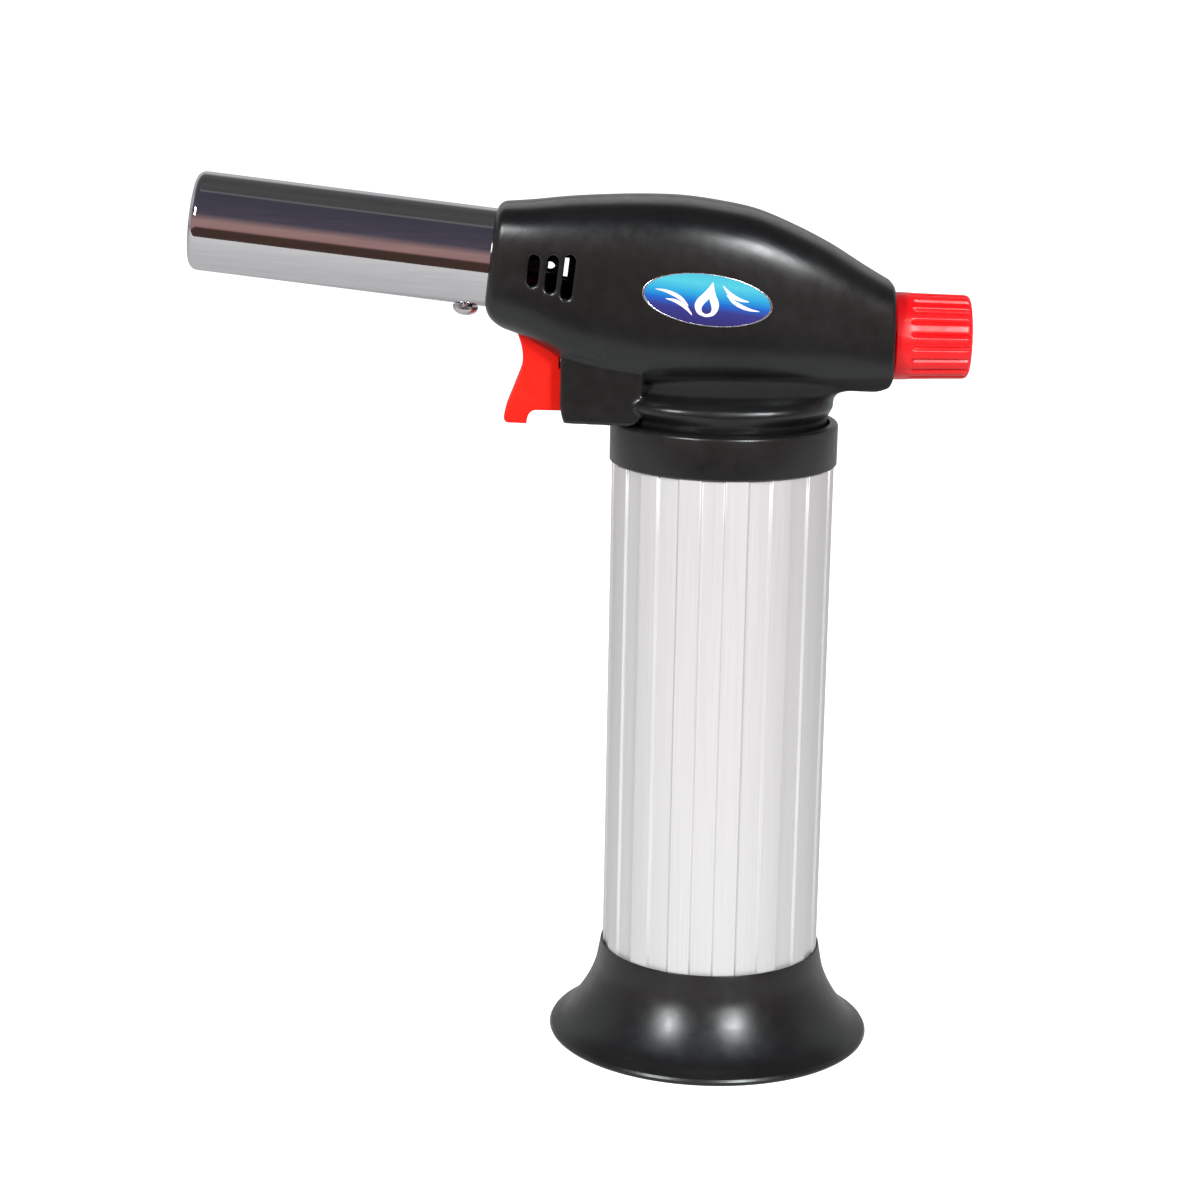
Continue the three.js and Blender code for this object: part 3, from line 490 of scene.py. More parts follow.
def turned_metal(name, low, high, roughness):
    """Bright metal with fine machining variation."""
    material, tree, bsdf = shader(name, low, roughness, 1.0)
    grain = object_noise(tree, 1.6, detail=4)
    tree.links.new(blended(tree, grain, low, high), bsdf.inputs["Base Color"])
    tree.links.new(ranged(tree, grain, roughness * 0.75, roughness * 1.3), bsdf.inputs["Roughness"])
    bumped(tree, bsdf, grain, 0.003, 0.5)
    return material


def chromed():
    """Mirror chrome with faint polishing haze."""
    material, tree, bsdf = shader("chrome", (0.6, 0.6, 0.61), 0.05, 1.0)
    haze = object_noise(tree, 0.5, stretch=(0.12, 2, 2), detail=5)
    colour = blended(tree, haze, (0.57, 0.57, 0.585), (0.63, 0.63, 0.64))
    tree.links.new(colour, bsdf.inputs["Base Color"])
    tree.links.new(ranged(tree, haze, 0.035, 0.085), bsdf.inputs["Roughness"])
    bumped(tree, bsdf, haze, 0.001, 0.3)
    return material


# The film's colours, from the label's lower edge to its upper one.
LABEL_STOPS = [
    (0.0, (0.02, 0.018, 0.12)),
    (0.3, (0.022, 0.028, 0.2)),
    (0.44, (0.0, 0.1, 0.46)),
    (0.6, (0.01, 0.3, 0.56)),
    (0.8, (0.06, 0.47, 0.58)),
    (1.0, (0.04, 0.42, 0.55)),
]


def label_film():
    """Printed film: cyan at the top to deep indigo at the bottom, under a clear gloss."""
    material, tree, bsdf = shader("label_film", (0.02, 0.1, 0.5), 0.28)
    bsdf.inputs["Coat Weight"].default_value = 0.6
    bsdf.inputs["Coat Roughness"].default_value = 0.1
    place = axes_of(tree, "Object")
    slope = node(tree, "ShaderNodeMath", operation="MULTIPLY")
    slope.inputs[1].default_value = math.tan(LABEL_TILT)
    tree.links.new(place["X"], slope.inputs[0])
    height = combined(tree, "ADD", place["Z"], slope.outputs["Value"])
    middle = LABEL_Z + (LABEL_X + AXIS_X) * math.tan(LABEL_TILT)
    share = mapped(tree, height, (middle - LABEL_UP) * MM, (middle + LABEL_UP) * MM)
    tree.links.new(colours(tree, share, LABEL_STOPS), bsdf.inputs["Base Color"])
    bumped(tree, bsdf, object_noise(tree, 1.2), 0.003, 0.3)
    return material


MATERIALS = {
    "black_plastic": black_plastic(),
    "anodised_aluminium": drawn_aluminium(),
    "chrome": chromed(),
    "label_film": label_film(),
}
for name, low, high, roughness in (
    ("steel", (0.5, 0.5, 0.52), (0.64, 0.64, 0.66), 0.24),
    ("brass", (0.6, 0.42, 0.15), (0.74, 0.55, 0.24), 0.26),
    ("copper", (0.72, 0.33, 0.2), (0.83, 0.45, 0.3), 0.28),
    ("dark_steel", (0.02, 0.02, 0.021), (0.035, 0.034, 0.035), 0.42),
):
    MATERIALS[name] = turned_metal(name, low, high, roughness)
for name, low, high, roughness, *more in (
    ("rubber", (0.012, 0.012, 0.013), (0.02, 0.02, 0.021), 0.7, 0.02),
    ("nylon", (0.66, 0.65, 0.58), (0.74, 0.73, 0.67), 0.42, 0.01),
    ("red_plastic", (0.8, 0.003, 0.006), (0.88, 0.005, 0.008), 0.36, 0.002),
    ("trigger_plastic", (0.9, 0.006, 0.0002), (0.96, 0.01, 0.0005), 0.5, 0.006, 0, 0.28),
    ("ceramic", (0.8, 0.77, 0.68), (0.88, 0.85, 0.77), 0.3, 0.006),
    ("igniter_plastic", (0.02, 0.02, 0.018), (0.035, 0.034, 0.03), 0.45, 0.012),
    ("plunger_plastic", (0.72, 0.7, 0.63), (0.8, 0.78, 0.72), 0.4, 0.008),
    ("felt", (0.6, 0.57, 0.46), (0.8, 0.77, 0.66), 0.9, 0.12),
    ("cable", (0.014, 0.014, 0.016), (0.022, 0.022, 0.024), 0.5, 0.01),
    ("label_print", (0.84, 0.85, 0.86), (0.9, 0.91, 0.92), 0.3, 0.003, 0.4),
):
    MATERIALS[name] = plain_plastic(name, low, high, roughness, *more)


# ---- Implicit shapes: below zero inside, about a distance in millimetres outside ----
def round_join(a, b, r):
    """Two shapes together, with a fillet of radius r where they meet."""
    return np.maximum(r, np.minimum(a, b)) - np.hypot(np.maximum(r - a, 0), np.maximum(r - b, 0))


def round_meet(a, b, r):
    """What two shapes share, with a rounding of radius r on the edge where they meet."""
    return np.minimum(-r, np.maximum(a, b)) + np.hypot(np.maximum(a + r, 0), np.maximum(b + r, 0))


def between(place, low, high):
    """The slab from low to high."""
    return np.maximum(low - place, place - high)


def box_field(x, y, z, xs, half, zs):
    """A box between two places in X and in Z, and half wide to each side in Y."""
    return np.maximum(np.maximum(between(x, *xs), between(z, *zs)), np.abs(y) - half)


def rod_y(x, z, r, at):
    """A rod along Y."""
    return np.hypot(x - at[0], z - at[1]) - r


def barrel_frame(x, z):
    """How far along the barrel and how far up across it."""
    c, s = math.cos(BARREL_TILT), math.sin(BARREL_TILT)
    return s * (z - BARREL_Z) - c * (x - BARREL_X), c * (z - BARREL_Z) + s * (x - BARREL_X)


# Sections of the head every 8 mm along X: top, bottom, half-width, squareness of the lower half.
TOP_SQUARER = 0.9  # how much squarer the upper half of each section is
HEAD_START = -58
HEAD_STEP = 8
HEAD = np.array([
    (183.7, 161.6, 10.8, 3.5),
    (184.6, 159.4, 13.0, 3.5),
    (185.2, 156.5, 14.9, 3.45),
    (186.05, 151.9, 16.2, 3.4),
    (186.55, 149.4, 17.1, 3.4),
    (186.8, 147.4, 17.7, 3.4),
    (186.65, 146.7, 18.1, 3.4),
    (185.7, 146.5, 18.1, 3.35),
    (184.1, 146.4, 17.6, 3.3),
    (181.0, 146.4, 16.7, 3.2),
    (177.1, 146.6, 15.1, 3.1),
    (172.3, 146.3, 13.0, 3.0),
    (167.8, 146.1, 10.9, 2.9),
])


def head_section(x):
    """Top, bottom, half-width and squareness of the head at x."""
    padded = np.vstack([2 * HEAD[0] - HEAD[1], HEAD, 2 * HEAD[-1] - HEAD[-2]])
    share = np.clip((np.asarray(x) - HEAD_START) / HEAD_STEP, 0, len(HEAD) - 1.001)
    i = share.astype(int)
    t = share - i
    out = []
    for c in range(4):
        p0, p1, p2, p3 = padded[i, c], padded[i + 1, c], padded[i + 2, c], padded[i + 3, c]
        out.append(catmull_point(p0, p1, p2, p3, t))
    return out


def head_field(x, y, z, grow=0):
    """The head's outside, moved outwards by grow."""
    top, bottom, half, square = head_section(x)
    reach = (top - bottom) / 2 + grow
    wide = half + grow
    square = square + np.where(z > (top + bottom) / 2, TOP_SQUARER, 0)
    up = np.abs(z - (top + bottom) / 2) / reach
    out = np.abs(y) / wide
    return ((out**square + up**square) ** (1 / square) - 1) * np.sqrt(wide * reach)


# The neck from the collar up into the head: z, reach to -X, reach to +X, half-width, squareness.
NECK = np.array([
    (138.5, 22.0, 22.0, 21.5, 2),
    (141.0, 22.2, 22.3, 21.7, 2.1),
    (142.2, 22.7, 22.8, 22.0, 2.3),
    (143.3, 23.1, 23.2, 22.2, 2.55),
    (144.4, 23.1, 23.2, 21.9, 2.6),
    (145.4, 22.5, 23.5, 20.9, 2.55),
    (146.4, 21.5, 24.6, 19.0, 2.45),
    (147.6, 20.2, 26.2, 16.4, 2.4),
    (149.4, 18.6, 25.8, 13.8, 2.4),
    (152.4, 17.2, 24.4, 12.2, 2.4),
    (157.0, 16.4, 21.6, 11.6, 2.4),
])
NECK_LEVELS = np.arange(138, 158.01, 0.1)


def eased(values, reach):
    """A moving average over reach neighbours on each side."""
    window = np.hanning(2 * reach + 3)[1:-1]
    return np.convolve(np.pad(values, reach, mode="edge"), window / window.sum(), "valid")


NECK_SMOOTH = [eased(np.interp(NECK_LEVELS, NECK[:, 0], NECK[:, c]), 5) for c in range(1, 5)]
NECK_SLOPE = np.gradient(NECK_SMOOTH[2], NECK_LEVELS)


def neck_field(x, y, z):
    """The neck, with the distance corrected for how much its side leans."""
    minus, plus, half, square = [np.interp(z, NECK_LEVELS, rows) for rows in NECK_SMOOTH]
    reach = np.where(x > 0, plus, minus)
    ratio = ((np.abs(x) / reach) ** square + (np.abs(y) / half) ** square) ** (1 / square)
    side = (ratio - 1) * np.sqrt(reach * half) / np.hypot(1, np.interp(z, NECK_LEVELS, NECK_SLOPE))
    return np.maximum(side, between(z, NECK[0, 0], NECK[-1, 0]))


def beyond_line(x, z, a, b):
    """Distance to the right of the line from a to b in x and z."""
    length = math.hypot(b[0] - a[0], b[1] - a[1])
    return ((x - a[0]) * (b[1] - a[1]) - (z - a[1]) * (b[0] - a[0])) / length


def block_half(x, inset=0):
    """Half-width of the trigger's housing at x, moved inwards by inset."""
    return np.interp(x, (BLOCK_FROM + inset, BLOCK_TO - inset), np.subtract(BLOCK_HALF, inset))


def block_field(x, y, z):
    """The housing that the trigger slides in."""
    rear = round_meet(x - BLOCK_TO, BLOCK_BOTTOM - z, 3)
    chamfer = beyond_line(x, z, (BLOCK_FROM, 142.3), (BLOCK_FROM + 0.9, BLOCK_BOTTOM))
    front = round_meet(BLOCK_FROM - x, chamfer, 0.6)
    outline = np.maximum(round_meet(rear, front, 0.4), z - BLOCK_TOP)
    return round_meet(outline, np.abs(y) - block_half(x), 0.7)


def outer_field(x, y, z):
    """The outside of both head shells together."""
    along, _ = barrel_frame(x, z)
    head = round_meet(head_field(x, y, z), along - HEAD_FACE, 1.9)
    head = round_meet(head, x - REAR_FACE_X, 0.7)
    head = round_meet(head, beyond_line(x, z, (-51.75, 163), (-49.4, 159.3)), 1.6)
    head = round_meet(head, beyond_line(x, z, (33.2, 145), (36.2, 148.4)), 2.4)
    whole = round_join(head, neck_field(x, y, z), 0.9)
    whole = round_join(whole, block_field(x, y, z), 0.5)
    spigot = np.maximum(np.hypot(x, y) - SPIGOT_R, between(z, *SPIGOT))
    return np.minimum(whole, spigot)


# The throat round the tank's neck: heights, and its radius at each.
THROAT = ((141.2, 143, 145.3, 146.6, 149.6), (15.2, 16.6, 16.6, 13.6, 10.6))


def hollow_field(x, y, z):
    """The hollow inside the shells: the head's room, the neck's throat and bore, and pockets."""
    along, _ = barrel_frame(x, z)
    inner = np.maximum(head_field(x, y, z, -WALL), along - HEAD_FACE + FACE_WALL)
    inner = np.maximum(inner, x - REAR_FACE_X + REAR_WALL)
    r = np.hypot(x, y)
    throat = np.maximum(r - np.interp(z, *THROAT), between(z, THROAT[0][0], THROAT[0][-1]))
    valve = box_field(x, y, z, (-9, 15.4), 8.4, (146, 158))
    bore = np.maximum(r - NECK_R - LOOSE, between(z, 130, 142))
    pocket = box_field(
        x, y, z, (-30.9, -6), PIEZO_HALF, (PIEZO_Z - PIEZO_HALF, PIEZO_Z + PIEZO_HALF)
    )
    beside = between(np.abs(y), TRIGGER_HALF + 1.9, block_half(x, WALL))
    beside = np.maximum(beside, between(x, BLOCK_FROM + WALL, BLOCK_TO - WALL))
    beside = np.maximum(beside, between(z, CHANNEL_FLOOR + 0.8, BLOCK_TOP))
    space = inner
    for room in (throat, valve, bore, pocket, beside):
        space = np.minimum(space, room)
    for sx, sz, _, _ in SHELL_SCREWS:
        space = np.maximum(space, -rod_y(x, z, BOSS_R, (sx, sz)))
    rib = np.maximum(between(z, *CLAMP_RIB), between(r, CLAMP_RIB_R, 16))
    return np.maximum(space, -rib)


# Each air slot: where it is in X, and its lower and upper end.
VENTS = [(-41.2, 168.9, 175.5), (-37.35, 167.7, 175.5), (-33.9, 166.4, 175.7)]
VENT_R = 1.15


def vent_field(x, z):
    """The air slots through both sides, tilted with the barrel."""
    c, s = math.cos(BARREL_TILT), math.sin(BARREL_TILT)
    found = None
    for at, low, high in VENTS:
        dx = x - at
        dz = z - (low + high) / 2
        u = c * dx - s * dz
        v = c * dz + s * dx
        slot = np.hypot(u, np.maximum(np.abs(v) - (high - low) / 2 + VENT_R, 0)) - VENT_R
        found = slot if found is None else np.minimum(found, slot)
    return found


def shell_field(side):
    """The field of one half of the head: side -1 has the label, side 1 the screws."""

    def field(x, y, z):
        along, across = barrel_frame(x, z)
        shape = np.maximum(outer_field(x, y, z), -hollow_field(x, y, z))
        tube = np.maximum(np.hypot(across, y) - TUBE_R - LOOSE, TUBE_BACK - 0.6 - along)
        shape = round_meet(shape, -tube, OPENING_EDGE)
        slot = np.minimum(
            box_field(x, y, z, (-45.4, CHEEK_BACK + TRIGGER_TRAVEL + 0.5), SLOT_HALF, (140, 161)),
            box_field(x, y, z, (-60, -23.6), SLOT_HALF, (CHANNEL_FLOOR, 153)),
        )
        shape = round_meet(shape, -slot, OPENING_EDGE)
        shape = round_meet(shape, -vent_field(x, z), OPENING_EDGE)
        hub = np.hypot(y, z - KNOB_Z)
        flange = np.maximum(hub - HUB_R - 1.4, between(x, 30.4, REAR_FACE_X - REAR_WALL))
        bearing = np.maximum(hub - HUB_R - 0.15, 30 - x)
        spindle = np.maximum(hub - 2.6, 10 - x)
        holes = np.minimum(np.minimum(flange, bearing), spindle)
        shape = np.maximum(shape, -holes)
        for sx, sz, seat, depth in SHELL_SCREWS:
            if side > 0:
                recess = np.maximum(rod_y(x, z, SCREW_RECESS_R, (sx, sz)), seat - y)
                shape = round_meet(shape, -recess, 0.3)
                shape = np.maximum(shape, -rod_y(x, z, SCREW_CLEAR_R, (sx, sz)))
            else:
                pilot = np.maximum(rod_y(x, z, SCREW_PILOT_R, (sx, sz)), -depth - 1 - y)
                shape = np.maximum(shape, -pilot)
        return round_meet(shape, PARTING_GAP / 2 - side * y, 0.25)

    return field


def ticks(low, high, step, fine=()):
    """Grid places from low to high, closer together inside the (from, to, step) stretches."""
    places = [low]
    while places[-1] < high:
        here = places[-1]
        places.append(here + min([step] + [f[2] for f in fine if f[0] - step <= here < f[1]]))
    return np.array(places)


def skinned(field, axes):
    """Points and quads of the surface where field is zero, inside the grid of axes."""
    x, y, z = np.meshgrid(*axes, indexing="ij", sparse=True)
    values = field(x, y, z)
    cells = np.array(values.shape) - 1
    count = np.zeros(cells.prod())
    total = np.zeros((3, cells.prod()))
    quads = []
    for a in range(3):
        b, c = (a + 1) % 3, (a + 2) % 3
        inside = values < 0
        step = np.diff(inside.astype(np.int8), axis=a) != 0
        at = np.argwhere(step)
        keep = (at[:, b] > 0) & (at[:, c] > 0) & (at[:, b] < cells[b]) & (at[:, c] < cells[c])
        at = at[keep]
        after = at.copy()
        after[:, a] += 1
        first = values[tuple(at.T)]
        second = values[tuple(after.T)]
        point = np.stack([axes[k][at[:, k]] for k in range(3)], 1)
        point[:, a] += first / (first - second) * (axes[a][after[:, a]] - axes[a][at[:, a]])
        corners = []
        for back_b, back_c in ((0, 0), (1, 0), (1, 1), (0, 1)):
            cell = at.copy()
            cell[:, b] -= back_b
            cell[:, c] -= back_c
            index = np.ravel_multi_index(cell.T, cells)
            corners.append(index)
            count += np.bincount(index, minlength=len(count))
            for k in range(3):
                total[k] += np.bincount(index, point[:, k], len(count))
        quad = np.stack(corners, 1)
        turned = first > 0
        quad[turned] = quad[turned][:, ::-1]
        quads.append(quad)
    used = np.flatnonzero(count)
    place = np.zeros(len(count), int)
    place[used] = np.arange(len(used))
    points = (total[:, used] / count[used]).T
    for _ in range(SETTLE_STEPS):
        points = settled(points, field)
    return points, place[np.vstack(quads)]


def settled(points, field):
    """The points moved towards the surface where field is zero, by SETTLE_MOST at the most."""
    here = field(*points.T)
    slope = np.zeros_like(points)
    for k in range(3):
        ahead = points.copy()
        ahead[:, k] += SETTLE_PROBE
        behind = points.copy()
        behind[:, k] -= SETTLE_PROBE
        slope[:, k] = (field(*ahead.T) - field(*behind.T)) / (2 * SETTLE_PROBE)
    size = np.maximum((slope**2).sum(1), 0.05)
    move = -slope * (here / size)[:, None]
    length = np.linalg.norm(move, axis=1, keepdims=True)
    return points + move * np.minimum(1, SETTLE_MOST / np.maximum(length, 1e-9))


def head_shell(name, side):
    """One half of the head, on a grid that is finer round slots, the parting and the crease."""
    finest = 0.36
    coarse = 0.55
    xs = ticks(-55, 38, coarse, [(-52.5, -31.5, finest), (33.5, 37, finest)])
    ys = ticks(-1, 24.5, coarse, [(-0.6, 0.6, 0.15)])
    zs = ticks(135.5, 188.5, coarse, [(138.5, 151.5, 0.4)])
    if side < 0:
        ys = -ys[::-1]
    points, quads = skinned(shell_field(side), (xs, ys, zs))
    piece(
        name,
        points,
        quads,
        "black_plastic",
        stands_for=[name.replace("head_", "")],
        sharp=60,
        turned_out=True,
    )


# ---- Foot, sleeve, collar ----
def foot():
    flare = [
        (34.2, 2.3),
        (32.6, 3.4),
        (30.9, 5.2),
        (28.9, 8),
        (27.1, 11.2),
        (25.6, 15),
        (24.75, 19.2),
    ]
    corners = [
        (32.2, 0, 0.3),
        (35.0, 0, 0.3),
        (35.5, 0.35, 0.4),
        (FOOT_R, 0.9, 0.5),
        (35.3, 1.6, 0.4),
    ]
    corners += [tuple(p) for p in catmull(flare, 6)]
    corners += [
        (24.45, FOOT_TOP, 0.16),
        (SLEEVE_R + 0.12, FOOT_TOP, 0.08),
        (SLEEVE_R + 0.12, FOOT_SEAT),
        (TANK_R + 0.2, FOOT_SEAT, 0.2),
        (TANK_R + 0.2, FOOT_WEB[1], 0.4),
        (FOOT_HOLE_R, FOOT_WEB[1], 0.4),
        (FOOT_HOLE_R, FOOT_WEB[0], 0.4),
        (23.5, FOOT_WEB[0], 1.2),
        (26.2, 8, 1.5),
        (30, 3.6, 1),
    ]
    piece("foot_moulding", *revolved(softened(corners), 160), "black_plastic", stands_for=["foot"])


def sleeve():
    pitch = 2 * math.pi / FLUTES
    edge = 0.02
    shares = [-0.03, -edge, -edge / 2, 0, edge / 2, edge, 0.03]
    shares += [0.1, 0.18, 0.25, 0.32, 0.4]
    angles = []
    radii = []
    for i in range(FLUTES):
        for start, sign in ((0, 1), (0.5, -1)):
            for s in shares:
                ramp = np.clip((s + edge) / (2 * edge), 0, 1)
                ramp = ramp * ramp * (3 - 2 * ramp)
                rise = ramp if sign > 0 else 1 - ramp
                angles.append((i + start + s) * pitch + math.radians(FLUTE_PHASE))
                radii.append(SLEEVE_R - FLUTE_DEPTH * (1 - rise))
    angles = np.array(angles)
    radii = np.array(radii)

    def ring(r, z):
        r = np.broadcast_to(r, angles.shape)
        return np.stack([r * np.cos(angles), r * np.sin(angles), np.full(len(angles), z)], 1)

    low, high = FOOT_SEAT + 0.1, SLEEVE_TOP
    levels = np.linspace(low + 0.25, high - 0.25, 9)
    rings = [ring(radii - 0.25, low)]
    rings += [ring(radii, z) for z in levels]
    rings += [ring(radii - 0.25, high)]
    rings += [ring(SLEEVE_BORE_R + 0.15, high), ring(SLEEVE_BORE_R, high - 0.15)]
    rings += [ring(SLEEVE_BORE_R, low + 0.15), ring(SLEEVE_BORE_R + 0.15, low)]
    verts, faces = lofted(rings, closed=True)
    piece(
        "sleeve_extrusion", verts, faces, "anodised_aluminium", stands_for=["tank_sleeve"], sharp=40
    )


def collar():
    corners = [
        (18.7, 131.2, 0.2),
        (22.35, 131.2, 0.2),
        (22.35, COLLAR_LOW, 0.1),
        (COLLAR_R - 0.02, COLLAR_LOW, 0.3),
        (COLLAR_R, COLLAR_TOP, 1.7),
        (SPIGOT_BORE_R, COLLAR_TOP, 0.25),
        (SPIGOT_BORE_R, SPIGOT[0] - LOOSE, 0.2),
        (19.6, SPIGOT[0] - LOOSE, 0.2),
        (18.7, 135.8, 0.2),
    ]
    piece("collar_ring", *revolved(softened(corners), 160), "black_plastic", stands_for=["collar"])


# ---- Flame tube and burner, in the barrel's frame ----
def flame_tube():
    bore = TUBE_R - TUBE_WALL
    turn = [math.pi / 2 * i / 10 for i in range(11)]
    middle = TUBE_R - TUBE_ROLL
    rim = TUBE_MOUTH - TUBE_ROLL
    profile = [(bore, TUBE_BACK), (TUBE_R, TUBE_BACK)]
    profile += [(middle + TUBE_ROLL * math.cos(a), rim + TUBE_ROLL * math.sin(a)) for a in turn]
    roll = TUBE_ROLL - TUBE_WALL
    profile += [(middle + roll * math.cos(a), rim + roll * math.sin(a)) for a in turn[::-1]]
    verts, faces = revolved(profile, 160)
    piece("flame_tube_chromed", in_barrel(verts), faces, "chrome", stands_for=["flame_tube"])


def cross_recess(reach, top, depth):
    """A tapered cross for a screwdriver, about Z, from top down."""
    arms = []
    for turn in (0, math.pi / 2):
        rings = []
        for z, share in ((top - depth, 0.35), (top + 0.5, 1.0)):
            long = reach * share
            corners = [(-long, -0.4), (long, -0.4), (long, 0.4), (-long, 0.4)]
            c, s = math.cos(turn), math.sin(turn)
            rings.append([(c * x - s * y, s * x + c * y, z) for x, y in corners])
        arms.append(lofted(rings))
    return arms


def downwards(verts):
    """Turns Z into the barrel's downward direction, at the tube screw's place along it."""
    v = np.asarray(verts, float)
    return in_barrel(np.stack([-v[:, 2], v[:, 1], TUBE_SCREW_AT + v[:, 0]], 1))


def tube_screw():
    profile = [(0, 6.6), (1.2, 6.6), (1.5, 7)]
    profile += [(1.5, 10.8), (2.62, 10.8), (2.72, 10.95), (2.7, 11.3)]
    for a in np.linspace(0.12, math.pi / 2 - 0.12, 9):
        profile.append((2.7 * math.cos(a), 11.3 + 1.6 * math.sin(a)))
    profile.append((0, 12.9))
    verts, faces = revolved(profile, 64)
    screw = piece("tube_screw_dome", downwards(verts), faces, "steel", stands_for=["tube_screw"])
    for arm, arm_faces in cross_recess(1.5, 12.9, 1.0):
        carve(screw, downwards(arm), arm_faces)


def drill(obj, r, along, places, segments):
    """Drills holes of radius r through obj along the barrel, at places across it."""
    verts, faces = revolved([(0, along[0]), (r, along[0]), (r, along[1]), (0, along[1])], segments)
    for x, y in places:
        carve(obj, in_barrel(verts + (x, y, 0)), faces)


def burner():
    bore = TUBE_R - TUBE_WALL - 0.3
    inside = MIXER_R + 0.3
    plate = [(inside, 33, 0.2), (bore, 33, 0.2), (bore, 34.6, 0.3), (inside, 34.6, 0.3)]
    verts, faces = revolved(softened(plate), 96)
    disc = piece("flame_holder_disc", in_barrel(verts), faces, "steel", stands_for=["flame_holder"])
    drill(disc, 1.85, (30, 37), [(ELECTRODE_OFFSET, 0)], 32)
    turns = [math.pi * (i + 0.5) / 4 for i in range(1, 7)]
    drill(disc, 1.15, (30, 37), [(7 * math.cos(a), 7 * math.sin(a)) for a in turns], 24)

    cup = softened([(0, 38.3), (4.3, 38.3, 0.2), (4.3, 42.2, 0.9), (0, 42.2)])
    verts, faces = revolved(cup, 72)
    verts = in_barrel(verts)
    nozzle = piece("flame_nozzle_cap", verts, faces, "brass", stands_for=["flame_nozzle"])
    drill(nozzle, 0.7, (37, 44), [(0, 0)], 24)
    turns = [math.pi * i / 3 for i in range(6)]
    drill(nozzle, 0.5, (37, 44), [(2.2 * math.cos(a), 2.2 * math.sin(a)) for a in turns], 20)

    ceramic = softened([(0.8, -6, 0.1), (1.45, -6, 0.2), (1.45, 40, 0.3), (0.8, 40, 0.2)])
    verts, faces = revolved(ceramic, 48)
    verts = in_barrel(verts + (ELECTRODE_OFFSET, 0, 0))
    piece("electrode_ceramic", verts, faces, "ceramic", stands_for=["electrode_insulator"])

    route = [(7, 0, -5), (7, 0, 20), (7, 0, 41), (6.5, 0, 43.6), (4.4, 0, 45.4), (2.6, 0, 46)]
    verts, faces = wire(catmull(route, 10), 0.45, 16)
    piece("spark_wire", in_barrel(verts), faces, "steel", stands_for=["spark_electrode"])


def wire(path, r, sides):
    """Points and faces of a round wire along a path of points that stays in one plane."""
    rings = []
    across = np.array([0.0, 1.0, 0.0])
    for i, point in enumerate(path):
        ahead = path[min(i + 1, len(path) - 1)] - path[max(i - 1, 0)]
        ahead = ahead / np.linalg.norm(ahead)
        up = np.cross(ahead, across)
        rings.append([
            point + r * (math.cos(a) * across + math.sin(a) * up)
            for a in np.arange(sides) * 2 * math.pi / sides
        ])
    return lofted(rings)


def coil(r, wire_r, low, high, turns):
    """Points and faces of a closed-ended spring about Z."""
    count = turns * COIL_STEPS
    rings = []
    for i in range(count + 1):
        share = i / count
        a = 2 * math.pi * turns * share
        z = low + (high - low) * share
        out = np.array([math.cos(a), math.sin(a), 0])
        rings.append([
            r * out + (0, 0, z) + wire_r * (math.cos(b) * out + math.sin(b) * np.array([0, 0, 1]))
            for b in np.arange(COIL_SIDES) * 2 * math.pi / COIL_SIDES
        ])
    return lofted(rings)


def springs():
    verts, faces = coil(1.6, 0.3, -26.4, -11.9, 9)
    verts = along_x(verts, PIEZO_Z)
    igniter = piece("igniter_spring_coil", verts, faces, "steel", stands_for=["igniter_spring"])
    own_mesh(igniter)
    verts, faces = coil(1.85, 0.24, 15.25, 22.45, 6)
    refill = piece("refill_spring_coil", verts, faces, "steel", stands_for=["refill_spring"])
    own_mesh(refill)


# ---- Knob and trigger ----
def knob():
    samples = 14
    count = KNOB_RIBS * samples
    angles = np.arange(count) * 2 * math.pi / count
    phase = (np.arange(count) % samples) / samples
    groove = np.clip(1 - np.abs(phase - 0.5) / 0.24, 0, 1)
    groove = groove * groove * (3 - 2 * groove)
    stations = [
        (KNOB_FROM, KNOB_R - 0.3, 0),
        (KNOB_FROM + 0.1, KNOB_R - 0.1, 0),
        (KNOB_FROM + 0.35, KNOB_R, 0),
        (38.5, KNOB_R - 0.04, 0),
        (38.8, KNOB_R - 0.06, 0.12),
        (39.2, KNOB_R - 0.09, 0.42),
        (39.7, KNOB_R - 0.12, 0.6),
        (40.4, KNOB_R - 0.15, 0.65),
        (45.6, KNOB_R - 0.28, 0.65),
        (50.4, 8.98, 0.65),
        (50.9, 8.9, 0.62),
        (51.3, 8.72, 0.52),
        (51.6, 8.45, 0.36),
        (KNOB_TO - 0.03, 8.05, 0.15),
        (KNOB_TO, 7.6, 0),
        (KNOB_TO, 6.6, 0),
        (KNOB_TO - 0.12, 6.35, 0),
        (KNOB_TO - 0.55, 6.1, 0),
        (KNOB_TO - 0.7, 5.8, 0),
        (KNOB_TO - 0.75, 1.2, 0),
    ]
    rings = []
    for x, r, depth in stations:
        here = r - depth * groove
        across = here * np.cos(angles)
        up = KNOB_Z + here * np.sin(angles)
        rings.append(np.stack([np.full(count, x), across, up], 1))
    verts, faces = lofted(rings)
    piece("flame_knob_grip", verts, faces, "red_plastic", "knob", ["flame_knob"], sharp=45)
    end = KNOB_FROM + 0.9
    hub = [(0, 31), (6.4, 31, 0.3), (6.7, 32.4, 0.3), (HUB_R, 32.6), (HUB_R, end), (0, end)]
    verts, faces = revolved(softened(hub), 72)
    piece("flame_knob_hub", along_x(verts, KNOB_Z), faces, "red_plastic", "knob")


